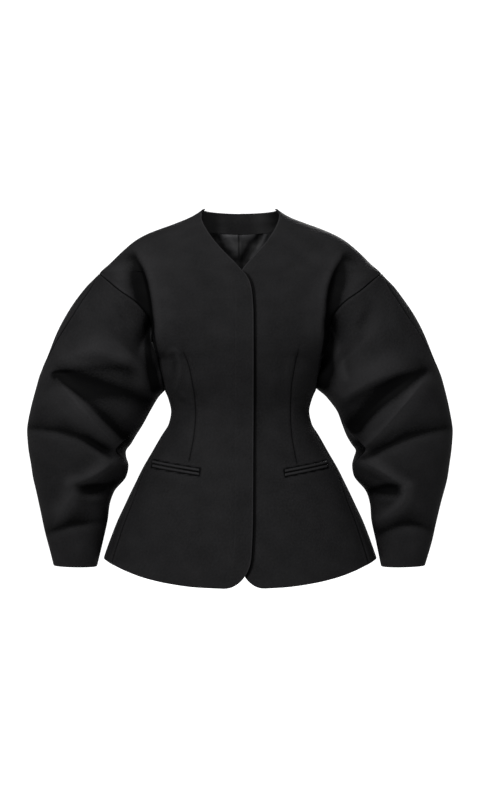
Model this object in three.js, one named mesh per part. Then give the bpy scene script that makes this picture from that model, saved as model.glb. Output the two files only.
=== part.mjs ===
// A collarless hourglass blazer with full rounded sleeves, in the hollow form it has when worn.
// Millimetres. +X is the wearer's left, -Y is the front, +Z is up. The origin lies midway
// between the two side neck points, at their height, where the wearer's shoulders carry it.
import * as THREE from "three";

// Cloth
const CLOTH = 2.0; // outer cloth with its fused backing
const FACING = 1.2; // facing cloth at the back neck
const LINING = 1.0; // lining cloth
const WELT = 1.4; // folded pocket lip
const SEAM_GAP = 0.5; // between two pieces that are sewn together
const LAYER_GAP = 0.3; // between a piece and the panel that it lies on
const OVERLAP_LIFT = CLOTH + 1.2; // the right front lies this far out over the left front
const OVERLAP_ACROSS = [-52, -12]; // its cloth rises to that between these distances from centre
const OVERLAP_DOWN = [80, 108]; // and between these depths below the neck points
const BODY_CLEARANCE = CLOTH + 1.4; // least space between the body's cloth and a sleeve beside it

// Heights of the body's landmarks, measured from the side neck points
const SHOULDER_TIP = -116; // where the shoulder line meets the armhole seam
const UNDERARM = -275;
const PANEL_TOP = -262; // where the seams of the side panel meet the armhole
const PEPLUM = -540; // below this the rows lean towards the hem line
const SIDE_PANEL_START = -322; // the side panel's rows bend to its armhole edge above this one
const SEAM_BEND = -320; // above this the panel seams bend to their ends at the armhole
const NECK_ROW = -40; // above this the back's rows follow the dip of its neck edge
const SLEEVE_BESIDE = { top: UNDERARM + 40, low: -420 }; // where a sleeve passes the body's side

// Horizontal sections of the body. Between the shoulder tip and the underarm the half width is
// that of the whole section before the armhole is cut out of it.
const BODY = [
  { height: 8, half: 64, front: 40, back: 64, square: 2.0 },
  { height: 0, half: 73, front: 42, back: 67, square: 2.0 },
  { height: -11, half: 91, front: 44, back: 70, square: 2.0 },
  { height: -22, half: 119, front: 47, back: 74, square: 2.05 },
  { height: -33, half: 149, front: 53, back: 78, square: 2.15 },
  { height: -44, half: 175, front: 61, back: 82, square: 2.25 },
  { height: -55, half: 194, front: 68, back: 86, square: 2.3 },
  { height: -77, half: 220, front: 79, back: 92, square: 2.4 },
  { height: -98, half: 241, front: 88, back: 97, square: 2.45 },
  { height: -116, half: 260, front: 94, back: 100, square: 2.5 },
  { height: -133, half: 268, front: 99, back: 102, square: 2.5 },
  { height: -152, half: 268, front: 103, back: 104, square: 2.45 },
  { height: -171, half: 258, front: 107, back: 105, square: 2.4 },
  { height: -200, half: 236, front: 112, back: 105, square: 2.3 },
  { height: -220, half: 212, front: 115, back: 104, square: 2.25 },
  { height: -240, half: 188, front: 117, back: 102, square: 2.25 },
  { height: -260, half: 168, front: 116, back: 100, square: 2.25 },
  { height: -275, half: 153, front: 114, back: 98, square: 2.25 },
  { height: -300, half: 148, front: 109, back: 93, square: 2.25 },
  { height: -326, half: 142, front: 102, back: 87, square: 2.2 },
  { height: -348, half: 133, front: 96, back: 82, square: 2.15 },
  { height: -370, half: 128, front: 93, back: 79, square: 2.1 },
  { height: -392, half: 132, front: 95, back: 81, square: 2.1 },
  { height: -414, half: 145, front: 101, back: 87, square: 2.1 },
  { height: -442, half: 161, front: 110, back: 97, square: 2.15 },
  { height: -475, half: 180, front: 119, back: 109, square: 2.2 },
  { height: -509, half: 197, front: 127, back: 120, square: 2.2 },
  { height: -542, half: 213, front: 134, back: 129, square: 2.2 },
  { height: -575, half: 228, front: 140, back: 138, square: 2.2 },
  { height: -609, half: 241, front: 146, back: 145, square: 2.2 },
  { height: -646, half: 254, front: 151, back: 151, square: 2.2 },
  { height: -700, half: 271, front: 158, back: 158, square: 2.2 },
];

// Half widths at which the armhole seam crosses the front and the back of the body
const ARMHOLE = [
  { height: -116, front: 260, back: 260 },
  { height: -133, front: 240, back: 243 },
  { height: -152, front: 217, back: 226 },
  { height: -171, front: 190, back: 212 },
  { height: -188, front: 174, back: 201 },
  { height: -203, front: 165, back: 192 },
  { height: -220, front: 162, back: 182 },
  { height: -240, front: 160, back: 171 },
  { height: -260, front: 156.5, back: 159 },
  { height: -275, front: 153, back: 153 },
];

// Angles round the body, from centre front, of the side panel's two seams
const SIDE_SEAMS = [
  { height: -700, front: 65, back: 119 },
  { height: -540, front: 68, back: 117 },
  { height: -487, front: 73.5, back: 115 },
  { height: -456, front: 76.5, back: 114 },
  { height: -430, front: 77.5, back: 113 },
  { height: -370, front: 78, back: 112 },
  { height: -310, front: 74, back: 110 },
  { height: PANEL_TOP, front: 69.5, back: 108.4 },
];
const SEAM_SIGHT = { front: 65, back: 119 }; // angles at which a row's height at them is taken

// The hem's height round the body, by angle from centre front
const HEM = [
  { angle: -25, height: -679 },
  { angle: 0, height: -682 },
  { angle: 14, height: -680 },
  { angle: 27, height: -674 },
  { angle: 40, height: -665 },
  { angle: 51, height: -656 },
  { angle: 63, height: -647.5 },
  { angle: 80, height: -641 },
  { angle: 95, height: -640 },
  { angle: 125, height: -643 },
  { angle: 180, height: -648 },
];

// Front edges, as a distance from the centre plane towards the front's own side. Each one is
// the neckline down to the point of the V, and the closing edge below it.
const NECKLINE = [
  { height: 0, over: 70.5, under: 70.5 },
  { height: -7, over: 71.8, under: 71.8 },
  { height: -18, over: 70.3, under: 70.3 },
  { height: -29, over: 66, under: 66.5 },
  { height: -42, over: 58.8, under: 60 },
  { height: -63, over: 44.4, under: 46.5 },
  { height: -88, over: 22.6, under: 24.8 },
  { height: -116, over: -2.2, under: 2.5 },
  { height: -126, over: -11, under: -1 },
  { height: -140, over: -18.7, under: -4 },
  { height: -154, over: -22.7, under: -5.5 },
  { height: -170, over: -25, under: -6 },
  { height: -200, over: -25.5, under: -6 },
  { height: -560, over: -24, under: -4 },
  { height: -700, over: -20, under: 0 },
];
const CORNER_WIDE = 50; // rounded hem corner of each front, across and up
const CORNER_HIGH = 54;

// Sections of a sleeve from below the shoulder to the cuff: its outer and inner points seen from
// the front, its half depth, and how far its middle stands forward or back. The left sleeve hangs
// a little otherwise: its outer and inner points lie this much farther from the centre plane.
const SLEEVE = [
  { outer: [286, -141], inner: [150, -292], deep: 84, middle: 3, left: [0, 0] },
  { outer: [313.5, -178], inner: [143, -316], deep: 94, middle: 3, left: [0, 0] },
  { outer: [338.5, -220], inner: [148, -336], deep: 99, middle: 2, left: [0, 6] },
  { outer: [356, -264.5], inner: [159, -355], deep: 100, middle: 1, left: [0, 10] },
  { outer: [370, -303.5], inner: [168, -372], deep: 98, middle: 0, left: [0, 12] },
  { outer: [380.5, -339.5], inner: [180, -395], deep: 95, middle: -1, left: [0, 8.5] },
  { outer: [388.5, -375.5], inner: [193, -416], deep: 91, middle: -2, left: [0, 4] },
  { outer: [392.5, -401.5], inner: [202, -431], deep: 88, middle: -3, left: [0, 4] },
  { outer: [391.5, -424], inner: [210.5, -442], deep: 85, middle: -4, left: [0, 3] },
  { outer: [389.5, -445], inner: [210.5, -454], deep: 84, middle: -5, left: [0, 0] },
  { outer: [385.5, -468], inner: [206, -470], deep: 81, middle: -7, left: [0, 1] },
  { outer: [381.5, -492], inner: [211, -491], deep: 76, middle: -9, left: [0, 0.5] },
  { outer: [376, -516], inner: [231.5, -515], deep: 69, middle: -11, left: [-0.5, 0] },
  { outer: [370, -542], inner: [240.5, -539], deep: 62, middle: -13, left: [-1, -1] },
  { outer: [363.5, -571.5], inner: [244, -570], deep: 54, middle: -15, left: [-2, -2] },
  { outer: [354.5, -608.5], inner: [252.5, -608.5], deep: 45, middle: -17, left: [-2.5, -2.5] },
  { outer: [343.5, -655], inner: [263.5, -657], deep: 37, middle: -19, left: [-4, -4] },
];
const SLEEVE_SQUARE = 2.1;
const SLEEVE_APPROACH = 34; // length over which the sleeve leaves the armhole
const SLEEVE_LENGTH = 600;

// The direction in which a sleeve leaves the armhole: a plain part, and what is added where the
// armhole faces up and where it faces down
const LEAVING = {
  across: { plain: 0.45, up: 0.25, down: 0.5 },
  height: { plain: -0.9, up: 0.2, down: 0.6 },
  forward: 0.35,
  turning: 0.6, // share of the half turn at which facing up ends and facing down starts
};

// Angle round a sleeve of its two seams, from the outer line through the front, by share of length
const SLEEVE_SEAMS = [
  { share: 0.0, outer: 0, inner: 180 },
  { share: 0.08, outer: 20, inner: 180 },
  { share: 0.17, outer: 24, inner: 180 },
  { share: 0.3, outer: 6, inner: 178 },
  { share: 0.4, outer: -6, inner: 165 },
  { share: 0.52, outer: -12, inner: 146 },
  { share: 0.62, outer: -14, inner: 172 },
  { share: 0.75, outer: -14, inner: 184 },
  { share: 1.0, outer: -12, inner: 184 },
];

// Folds seen from the front, one row each: a curve in distance from the centre plane and height,
// how far the cloth stands out (+) or sinks (-) at its two ends and middle, and how wide it is to
// the left and the right of somebody who follows it.
const FRONT_FOLDS = {
  right: [
    { name: "armpit", from: [193, -82], via: [171, -160], to: [164, -208],
      lift: [0, -17, -24], left: 24, right: 9 },
    { name: "armpit", from: [167, -215], via: [159, -262], to: [149, -318],
      lift: [-24, -16, -6], left: 19, right: 9 },
    { name: "shoulder ridge", from: [203, -78], via: [217, -135], to: [208, -215],
      lift: [0, 5, 6], left: 20, right: 16 },
    { name: "upper arm ridge", from: [290, -250], via: [248, -262], to: [204, -282],
      lift: [2, 5, 6], left: 16, right: 30 },
    { name: "elbow hollow", from: [342, -300], via: [262, -326], to: [180, -345],
      lift: [-9, -16, -8], left: 22, right: 20 },
    { name: "elbow ridge", from: [340, -301], via: [282, -372], to: [228, -436],
      lift: [4, 10, 4], left: 20, right: 9 },
    { name: "elbow dip", from: [391, -397], via: [313, -406], to: [240, -450],
      lift: [-4, -9, -1], left: 13, right: 14 },
    { name: "forearm ridge", from: [240, -464], via: [268, -485], to: [300, -500],
      lift: [1, 6, 3], left: 14, right: 14 },
    { name: "forearm hollow", from: [303, -509], via: [264, -502], to: [216, -490],
      lift: [-8, -15, -8], left: 17, right: 9 },
    { name: "forearm slope", from: [304, -516], via: [326, -532], to: [350, -548],
      lift: [5, 6, 2], left: 14, right: 14 },
    { name: "wrist dip", from: [353, -591], via: [300, -571], to: [258, -571],
      lift: [-5, -9, -5], left: 9, right: 20 },
  ],
  left: [
    { name: "armpit", from: [189, -86], via: [168, -140], to: [164, -208],
      lift: [0, -19, -24], left: 22, right: 9 },
    { name: "armpit", from: [166, -215], via: [159, -262], to: [149, -318],
      lift: [-24, -15, -5], left: 18, right: 9 },
    { name: "shoulder dip", from: [236, -146], via: [222, -192], to: [209, -228],
      lift: [-2, -6, -2], left: 14, right: 12 },
    { name: "upper arm ridge", from: [292, -262], via: [240, -284], to: [196, -312],
      lift: [2, 6, 6], left: 16, right: 30 },
    { name: "elbow hollow", from: [342, -297], via: [280, -336], to: [222, -388],
      lift: [-8, -17, -12], left: 16, right: 22 },
    { name: "elbow ridge", from: [344, -303], via: [290, -372], to: [228, -439],
      lift: [4, 10, 9], left: 18, right: 9 },
    { name: "elbow dip", from: [390, -398], via: [307, -420], to: [230, -459],
      lift: [-4, -10, -10], left: 14, right: 16 },
    { name: "forearm ridge", from: [236, -471], via: [266, -488], to: [294, -504],
      lift: [5, 6, 4], left: 14, right: 14 },
    { name: "forearm hollow", from: [296, -511], via: [268, -508], to: [232, -506],
      lift: [-8, -14, -7], left: 16, right: 10 },
    { name: "forearm slope", from: [299, -518], via: [280, -541], to: [256, -560],
      lift: [6, 6, 2], left: 14, right: 14 },
    { name: "wrist dip", from: [262, -588], via: [307, -572], to: [347, -584],
      lift: [-7, -8, -3], left: 20, right: 9 },
  ],
};

// Folds of the hidden back of the sleeves, in the same terms
const BACK_FOLDS = {
  right: [
    { name: "armpit", from: [215, -120], via: [186, -190], to: [166, -262],
      lift: [0, -10, -16], left: 24, right: 14 },
    { name: "elbow dip", from: [376, -352], via: [300, -372], to: [214, -428],
      lift: [-3, -8, -11], left: 18, right: 20 },
    { name: "forearm dip", from: [352, -492], via: [292, -478], to: [226, -480],
      lift: [-3, -8, -9], left: 15, right: 16 },
    { name: "wrist dip", from: [350, -560], via: [304, -574], to: [258, -562],
      lift: [-2, -6, -5], left: 14, right: 16 },
  ],
  left: [
    { name: "armpit", from: [212, -124], via: [184, -196], to: [166, -262],
      lift: [0, -9, -15], left: 24, right: 14 },
    { name: "elbow dip", from: [378, -368], via: [304, -384], to: [216, -434],
      lift: [-3, -9, -10], left: 20, right: 18 },
    { name: "forearm dip", from: [350, -478], via: [290, -472], to: [228, -486],
      lift: [-2, -8, -9], left: 16, right: 15 },
    { name: "wrist dip", from: [346, -574], via: [300, -562], to: [256, -576],
      lift: [-3, -6, -4], left: 14, right: 15 },
  ],
};
const LEAST_FOLD_WIDTH = 16; // the walls' rows are too far apart for a sharper fold
const FOLD_STEPS = 8; // straight steps of a fold's curve
const BODY_FOLDS = { lowest: -330, nearest: 60 }; // the folds reach the body only beyond these
// Folds come in over these shares: of the cloth's facing forwards, and of the sleeve's length
const FOLD_FACING = { body: [0.03, 0.35], sleeve: [0.05, 0.5] };
const FOLD_START = [0, 0.06];
const CLEAR_START = [0, 0.05]; // the same for the space that a sleeve keeps from the body

// Pockets with two lips each: the ends of the slit seen from the front
const POCKETS = {
  right: { outer: [160, -465], inner: [72, -478] },
  left: { outer: [161, -465], inner: [79, -479.5] },
};
const LIP_HEIGHT = 5.6;
const SLIT = 1.2;

// Back neck facing, whose lower edge carries the lining
const NECK_DIP = -0.5; // height of the back neck at its centre
const FACING_EDGE = [
  { angle: 90, height: -13 },
  { angle: 110, height: -14 },
  { angle: 135, height: -18 },
  { angle: 150, height: -25.5 },
  { angle: 160, height: -31.5 },
  { angle: 180, height: -35 },
];
const LINING_END = -235; // the half lining ends over the shoulder blades
const LINING_EASE = 4; // how far it hangs free of the backs
const LINING_EASE_DOWN = 30; // length below the facing over which it comes free
const LINING_MARGIN = 12; // it stops this far short of the armholes
const LINING_RISE = 14; // its lower edge rises this much towards the armholes
// Tucks of the lining, by distance of their top from centre back and their lean to the left
const TUCKS = [
  { across: -36, lean: -16, stand: 3.5, wide: 6, long: 70 },
  { across: -19, lean: 10, stand: 2, wide: 5, long: 50 },
  { across: -1, lean: 0, stand: 4.5, wide: 4, long: 190 },
  { across: 26, lean: 12, stand: 4, wide: 5.5, long: 80 },
  { across: 38, lean: 24, stand: 3.5, wide: 5, long: 75 },
  { across: 52, lean: 34, stand: 3, wide: 6, long: 60 },
];
const TUCK_TOP = -36;

// Steps of the walls across, and up where they have even rows
const FRONT_STEPS = 11;
const SIDE_STEPS = 4;
const BACK_STEPS = 8;
const SLEEVE_STEPS = 32; // along a sleeve
const LIP_STEPS = 10;
const FACING_STEPS = [16, 5];
const LINING_STEPS = [32, 11];
const ARMHOLE_STEPS = 80; // points at which each half of the armhole seam is measured

// Row heights of the body's panels, closer together where the shoulders and the hem turn
const SHOULDER_ROWS = [0, -4, -9, -16, -25, -36, -50, -66, -83, -100, SHOULDER_TIP];
const ARMHOLE_ROWS = [-131, -147, -164, -182, -201, -221, -242, PANEL_TOP];
const WAIST_ROWS = [-280, -300, -322, -346, -370, -395, -423, -456, -496, PEPLUM];
const HEM_SHARES = [0.3, 0.55, 0.75, 0.9, 1];
const HEM_STEP = 1000; // a row under the peplum line is that line less this for the whole way down

// At the armhole a sleeve's wall takes the direction of the body's, where it faces up and over
// this share of its length
const RIM_FACING = [-0.2, 0.5];
const RIM_LENGTH = [0, 0.03];

// Steps over which the direction of a surface is measured, and least lengths of one radian of
// the body and one degree of a sleeve
const BODY_SPAN = { angle: 0.004, height: 0.6 };
const SLEEVE_SPAN = { turn: 0.4, share: 0.002 };
const LEAST_RADIAN = 20;
const LEAST_DEGREE = 0.2;

const BLACK_WOOL = { color: 0x17171a, roughness: 0.85, metalness: 0 };
const BLACK_SATIN = { color: 0x1f1f22, roughness: 0.38, metalness: 0 };

const QUARTER = Math.PI / 2;
const radians = (angle) => (angle * Math.PI) / 180;
const degrees = (angle) => (angle * 180) / Math.PI;
const mix = (a, b, share) => a + (b - a) * share;
const smooth = (low, high, value) => THREE.MathUtils.smoothstep(value, low, high);

// A smooth curve through one column of a table, with no overshoot between its rows.
function column(table, key, name) {
  const rows = [...table].sort((a, b) => a[key] - b[key]);
  const at = rows.map((row) => row[key]);
  const value = rows.map((row) => row[name]);
  const last = at.length - 1;
  const rise = at.slice(1).map((x, i) => (value[i + 1] - value[i]) / (x - at[i]));
  const slope = value.map((_, i) => {
    if (i === 0) return rise[0];
    if (i === last) return rise[last - 1];
    if (rise[i - 1] * rise[i] <= 0) return 0;
    return (2 * rise[i - 1] * rise[i]) / (rise[i - 1] + rise[i]);
  });
  return (x) => {
    let i = 0;
    while (i < last - 1 && x > at[i + 1]) i += 1;
    const span = at[i + 1] - at[i];
    const t = THREE.MathUtils.clamp((x - at[i]) / span, 0, 1);
    const [t2, t3] = [t * t, t * t * t];
    return (
      value[i] * (2 * t3 - 3 * t2 + 1) +
      value[i + 1] * (3 * t2 - 2 * t3) +
      slope[i] * span * (t3 - 2 * t2 + t) +
      slope[i + 1] * span * (t3 - t2)
    );
  };
}

const bodyHalf = column(BODY, "height", "half");
const bodyFront = column(BODY, "height", "front");
const bodyBack = column(BODY, "height", "back");
const bodySquare = column(BODY, "height", "square");
const armholeFront = column(ARMHOLE, "height", "front");
const armholeBack = column(ARMHOLE, "height", "back");
const sideSeamFront = column(SIDE_SEAMS, "height", "front");
const sideSeamBack = column(SIDE_SEAMS, "height", "back");
const facingEdge = column(FACING_EDGE, "angle", "height");
const hemHeight = column(HEM, "angle", "height");
const seamOuter = column(SLEEVE_SEAMS, "share", "outer");
const seamInner = column(SLEEVE_SEAMS, "share", "inner");
const edgeOver = column(NECKLINE, "height", "over");
const edgeUnder = column(NECKLINE, "height", "under");

// A fold's curve as short straight steps.
function foldSteps(fold) {
  const bend = fold.via.map((v, i) => 2 * v - (fold.from[i] + fold.to[i]) / 2);
  const place = (t) =>
    [0, 1].map((i) => (1 - t) ** 2 * fold.from[i] + 2 * t * (1 - t) * bend[i] + t * t * fold.to[i]);
  const count = FOLD_STEPS;
  return Array.from({ length: count }, (_, k) => [place(k / count), place((k + 1) / count)]);
}

// How far a list of folds moves a point of the cloth outwards, from its place seen from the front.
function foldLift(folds, x, z) {
  let total = 0;
  for (const fold of folds) {
    let nearest = { distance: Infinity, turn: 1, share: 0 };
    fold.steps.forEach(([a, b], k) => {
      const [dx, dz] = [b[0] - a[0], b[1] - a[1]];
      const along = ((x - a[0]) * dx + (z - a[1]) * dz) / (dx * dx + dz * dz);
      const t = THREE.MathUtils.clamp(along, 0, 1);
      const [ox, oz] = [x - a[0] - t * dx, z - a[1] - t * dz];
      const distance = Math.hypot(ox, oz);
      if (distance < nearest.distance)
        nearest = { distance, turn: dx * oz - dz * ox, share: (k + t) / fold.steps.length };
    });
    const width = Math.max(LEAST_FOLD_WIDTH, nearest.turn > 0 ? fold.left : fold.right);
    const [start, middle, end] = fold.lift;
    const lift =
      nearest.share < 0.5
        ? mix(start, middle, smooth(0, 0.5, nearest.share))
        : mix(middle, end, smooth(0.5, 1, nearest.share));
    total += lift * Math.exp(-((nearest.distance / width) ** 2));
  }
  return total;
}

const withSteps = (sides) =>
  Object.fromEntries(
    Object.entries(sides).map(([side, folds]) => [
      side,
      folds.map((fold) => ({ ...fold, steps: foldSteps(fold) })),
    ]),
  );
const frontFolds = withSteps(FRONT_FOLDS);
const backFolds = withSteps(BACK_FOLDS);
const sideName = (side) => (side > 0 ? "left" : "right");

// A point of the body by angle from centre front, through the wearer's left, and by height.
function bodyPoint(angle, height) {
  const power = 2 / bodySquare(height);
  const [s, c] = [Math.sin(angle), Math.cos(angle)];
  const depth = c > 0 ? bodyFront(height) : bodyBack(height);
  const x = bodyHalf(height) * Math.sign(s) * Math.abs(s) ** power;
  const y = -depth * Math.sign(c) * Math.abs(c) ** power;
  const folds = (c > 0 ? frontFolds : backFolds)[sideName(x)];
  const folded = height > BODY_FOLDS.lowest && Math.abs(x) > BODY_FOLDS.nearest;
  const shown = folded ? smooth(...FOLD_FACING.body, Math.abs(c)) : 0;
  const lift = shown > 0 ? shown * foldLift(folds, Math.abs(x), height) : 0;
  return new THREE.Vector3(x, y - Math.sign(c) * lift, height);
}

// The angle at which the body's section has a given distance from the centre plane.
const bodyAngle = (x, height) =>
  Math.sign(x) * Math.asin(Math.min(1, Math.abs(x) / bodyHalf(height)) ** (bodySquare(height) / 2));

// The armhole seam on the wearer's left: 0 at the shoulder tip, 180 at the underarm through the
// front, and on to 360 through the back. Its points are spaced evenly along the seam.
function armholeSeam(cut, towardsBack) {
  const steps = ARMHOLE_STEPS;
  const points = Array.from({ length: steps + 1 }, (_, k) => {
    const height = mix(SHOULDER_TIP, UNDERARM, k / steps);
    const angle = k === 0 || k === steps ? QUARTER : bodyAngle(cut(height), height);
    return { angle: towardsBack ? Math.PI - angle : angle, height };
  });
  const along = [0];
  points.slice(1).forEach((p, k) => {
    const a = bodyPoint(p.angle, p.height);
    const b = bodyPoint(points[k].angle, points[k].height);
    along.push(along[k] + a.distanceTo(b));
  });
  return (share) => {
    const want = THREE.MathUtils.clamp(share, 0, 1) * along[steps];
    let i = 0;
    while (i < steps - 1 && want > along[i + 1]) i += 1;
    const t = (want - along[i]) / (along[i + 1] - along[i]);
    const [a, b] = [points[i], points[i + 1]];
    return { angle: mix(a.angle, b.angle, t), height: mix(a.height, b.height, t) };
  };
}
const armholeFrontSeam = armholeSeam(armholeFront, false);
const armholeBackSeam = armholeSeam(armholeBack, true);
function armholePlace(turn) {
  const full = ((turn % 360) + 360) % 360;
  return full <= 180 ? armholeFrontSeam(full / 180) : armholeBackSeam((360 - full) / 180);
}

// The share of its half of the seam at which the armhole has a given height.
function armholeShare(seam, height) {
  let [low, high] = [0, 1];
  for (let k = 0; k < 30; k += 1) {
    const middle = (low + high) / 2;
    if (seam(middle).height > height) low = middle;
    else high = middle;
  }
  return (low + high) / 2;
}

// The direction in which the sleeve leaves the armhole.
function leaving(turn) {
  const { across, height, forward, turning } = LEAVING;
  const under = (1 - Math.cos(radians(turn))) / 2;
  const front = Math.sin(radians(turn));
  const down = smooth(turning, 1, under);
  const up = 1 - smooth(0, turning, under);
  return new THREE.Vector3(
    across.plain + across.up * up + across.down * down,
    -forward * front,
    height.plain + height.up * up + height.down * down,
  ).normalize();
}

const sleeveKnots = (() => {
  const middles = SLEEVE.map((s) => [(s.outer[0] + s.inner[0]) / 2, (s.outer[1] + s.inner[1]) / 2]);
  const first = [(bodyHalf(SHOULDER_TIP) + bodyHalf(UNDERARM)) / 2, (SHOULDER_TIP + UNDERARM) / 2];
  const path = [first, ...middles];
  const at = [0];
  path.slice(1).forEach((p, k) => at.push(at[k] + Math.hypot(p[0] - path[k][0], p[1] - path[k][1])));
  return at.map((a) => a / at[at.length - 1]);
})();

// A point of a sleeve without its folds, by angle round it and share of its length.
function plainSleeve(turn, share, side) {
  const place = armholePlace(turn);
  const seam = bodyPoint(side > 0 ? place.angle : -place.angle, place.height);
  seam.x = Math.abs(seam.x);
  const before = seam.clone().addScaledVector(leaving(turn), -SLEEVE_APPROACH);
  const power = 2 / SLEEVE_SQUARE;
  const [s, c] = [Math.sin(radians(turn)), Math.cos(radians(turn))];
  const across = Math.sign(c) * Math.abs(c) ** power;
  const forward = Math.sign(s) * Math.abs(s) ** power;
  const ring = (k) => {
    if (k < 0) return before;
    if (k === 0) return seam;
    const { outer, inner, deep, middle, left } = SLEEVE[Math.min(k, SLEEVE.length) - 1];
    const [out, into] = side > 0 ? [outer[0] + left[0], inner[0] + left[1]] : [outer[0], inner[0]];
    return new THREE.Vector3(
      (out + into) / 2 + ((out - into) / 2) * across,
      middle - deep * forward,
      (outer[1] + inner[1]) / 2 + ((outer[1] - inner[1]) / 2) * across,
    );
  };
  const knots = sleeveKnots;
  const last = knots.length - 1;
  let i = 0;
  while (i < last - 1 && share > knots[i + 1]) i += 1;
  const knot = (k) => (k < 0 ? -knots[1] : k > last ? 2 * knots[last] - knots[last - 1] : knots[k]);
  const point = (k) =>
    k > last ? ring(last).clone().multiplyScalar(2).sub(ring(last - 1)) : ring(k);
  const [p0, p1, p2, p3] = [point(i - 1), point(i), point(i + 1), point(i + 2)];
  const span = knot(i + 1) - knot(i);
  const t = (share - knots[i]) / span;
  const slope1 = p2.clone().sub(p0).multiplyScalar(span / (knot(i + 1) - knot(i - 1)));
  const slope2 = p3.clone().sub(p1).multiplyScalar(span / (knot(i + 2) - knot(i)));
  const [t2, t3] = [t * t, t * t * t];
  return p1
    .clone()
    .multiplyScalar(2 * t3 - 3 * t2 + 1)
    .addScaledVector(p2, 3 * t2 - 2 * t3)
    .addScaledVector(slope1, t3 - 2 * t2 + t)
    .addScaledVector(slope2, t3 - t2);
}

// Moves a point of a sleeve beside the body out until it is clear of the body's side.
function clearOfBody(point, share) {
  if (point.z > SLEEVE_BESIDE.top || point.z < SLEEVE_BESIDE.low) return;
  const half = bodyHalf(Math.min(point.z, UNDERARM)) + BODY_CLEARANCE;
  const depth = (point.y < 0 ? bodyFront(point.z) : bodyBack(point.z)) + BODY_CLEARANCE;
  const square = bodySquare(point.z);
  const deep = Math.min(0.999, Math.abs(point.y) / depth);
  const least = half * (1 - deep ** square) ** (1 / square);
  if (point.x < least) point.x = mix(point.x, least, smooth(...CLEAR_START, share));
}

// A point of a sleeve with its folds, by angle round it and share of its length.
function sleevePoint(turn, share, side) {
  const point = plainSleeve(turn, share, side);
  const front = Math.sin(radians(turn));
  const folds = (front > 0 ? frontFolds : backFolds)[sideName(side)];
  const shown = smooth(...FOLD_FACING.sleeve, Math.abs(front)) * smooth(...FOLD_START, share);
  const lift = shown * foldLift(folds, point.x, point.z);
  point.y -= Math.sign(front) * lift;
  clearOfBody(point, share);
  point.x *= side;
  return point;
}

// The outward normal of a surface that is given by two coordinates, to the right and up.
function normalAt(surface, a, b, stepA, stepB) {
  const right = surface(a + stepA, b).sub(surface(a - stepA, b));
  const up = surface(a, b + stepB).sub(surface(a, b - stepB));
  return right.cross(up).normalize();
}

// A closed wall of cloth. skin(u, v) gives the outer point and its outward normal, with u to the
// right and v up as somebody who looks at the cloth from outside sees them.
function clothWall(name, finish, skin, columns, rows, thickness, raised = 0) {
  const wide = columns.length;
  const count = wide * rows.length;
  const positions = new Float32Array(count * 2 * 3);
  rows.forEach((v, j) =>
    columns.forEach((u, i) => {
      const { point, normal } = skin(u, v);
      const outer = point.clone().addScaledVector(normal, raised);
      const inner = outer.clone().addScaledVector(normal, -thickness);
      outer.toArray(positions, (j * wide + i) * 3);
      inner.toArray(positions, (count + j * wide + i) * 3);
    }),
  );
  const faces = [];
  const corner = (k) => new THREE.Vector3().fromArray(positions, k * 3);
  const quad = (a, b, c, d) => faces.push(a, b, c, a, c, d);
  const turned = (a, b, c, d) => faces.push(a, b, d, b, c, d);
  const outer = (i, j) => j * wide + i;
  const inner = (i, j) => count + j * wide + i;
  for (let j = 0; j < rows.length - 1; j += 1)
    for (let i = 0; i < wide - 1; i += 1) {
      const [a, b] = [outer(i, j), outer(i + 1, j)];
      const [c, d] = [outer(i + 1, j + 1), outer(i, j + 1)];
      const rising = corner(a).distanceTo(corner(c)) < corner(b).distanceTo(corner(d));
      (rising ? quad : turned)(a, b, c, d);
      (rising ? quad : turned)(a + count, d + count, c + count, b + count);
    }
  const top = rows.length - 1;
  for (let i = 0; i < wide - 1; i += 1) {
    quad(inner(i, 0), inner(i + 1, 0), outer(i + 1, 0), outer(i, 0));
    quad(outer(i, top), outer(i + 1, top), inner(i + 1, top), inner(i, top));
  }
  for (let j = 0; j < top; j += 1) {
    quad(inner(0, j), outer(0, j), outer(0, j + 1), inner(0, j + 1));
    quad(outer(wide - 1, j), inner(wide - 1, j), inner(wide - 1, j + 1), outer(wide - 1, j + 1));
  }
  const geometry = new THREE.BufferGeometry();
  geometry.setAttribute("position", new THREE.BufferAttribute(positions, 3));
  geometry.setIndex(faces);
  geometry.computeVertexNormals();
  const mesh = new THREE.Mesh(geometry, new THREE.MeshStandardMaterial(finish));
  mesh.name = name;
  return mesh;
}

// Shares from 0 to 1 in even steps.
const evenly = (count) => Array.from({ length: count + 1 }, (_, k) => k / count);

// The rows of the panels, from the hem up
const LOW_ROWS = [...HEM_SHARES].reverse().map((share) => PEPLUM - HEM_STEP * share);
const SIDE_ROWS = [...LOW_ROWS, ...[PANEL_TOP, ...WAIST_ROWS].reverse()];
const PANEL_ROWS = [...LOW_ROWS, ...[...SHOULDER_ROWS, ...ARMHOLE_ROWS, ...WAIST_ROWS].reverse()];

// The true height of a panel row at an angle: rows below the peplum line follow the hem.
function rowHeight(row, angle) {
  if (row >= PEPLUM) return row;
  return mix(PEPLUM, hemHeight(degrees(angle)), (PEPLUM - row) / HEM_STEP);
}

// The front's closing edge with its neckline and its rounded hem corner.
function frontEdge(height, over) {
  const plain = (over ? edgeOver : edgeUnder)(height);
  const corner = hemHeight(0) + CORNER_HIGH;
  const drop = THREE.MathUtils.clamp((corner - height) / CORNER_HIGH, 0, 1);
  return plain + CORNER_WIDE * (1 - Math.sqrt(1 - drop * drop));
}

const armholeAngle = (height, back) => {
  const angle = bodyAngle((back ? armholeBack : armholeFront)(height), height);
  return back ? Math.PI - angle : angle;
};

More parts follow.
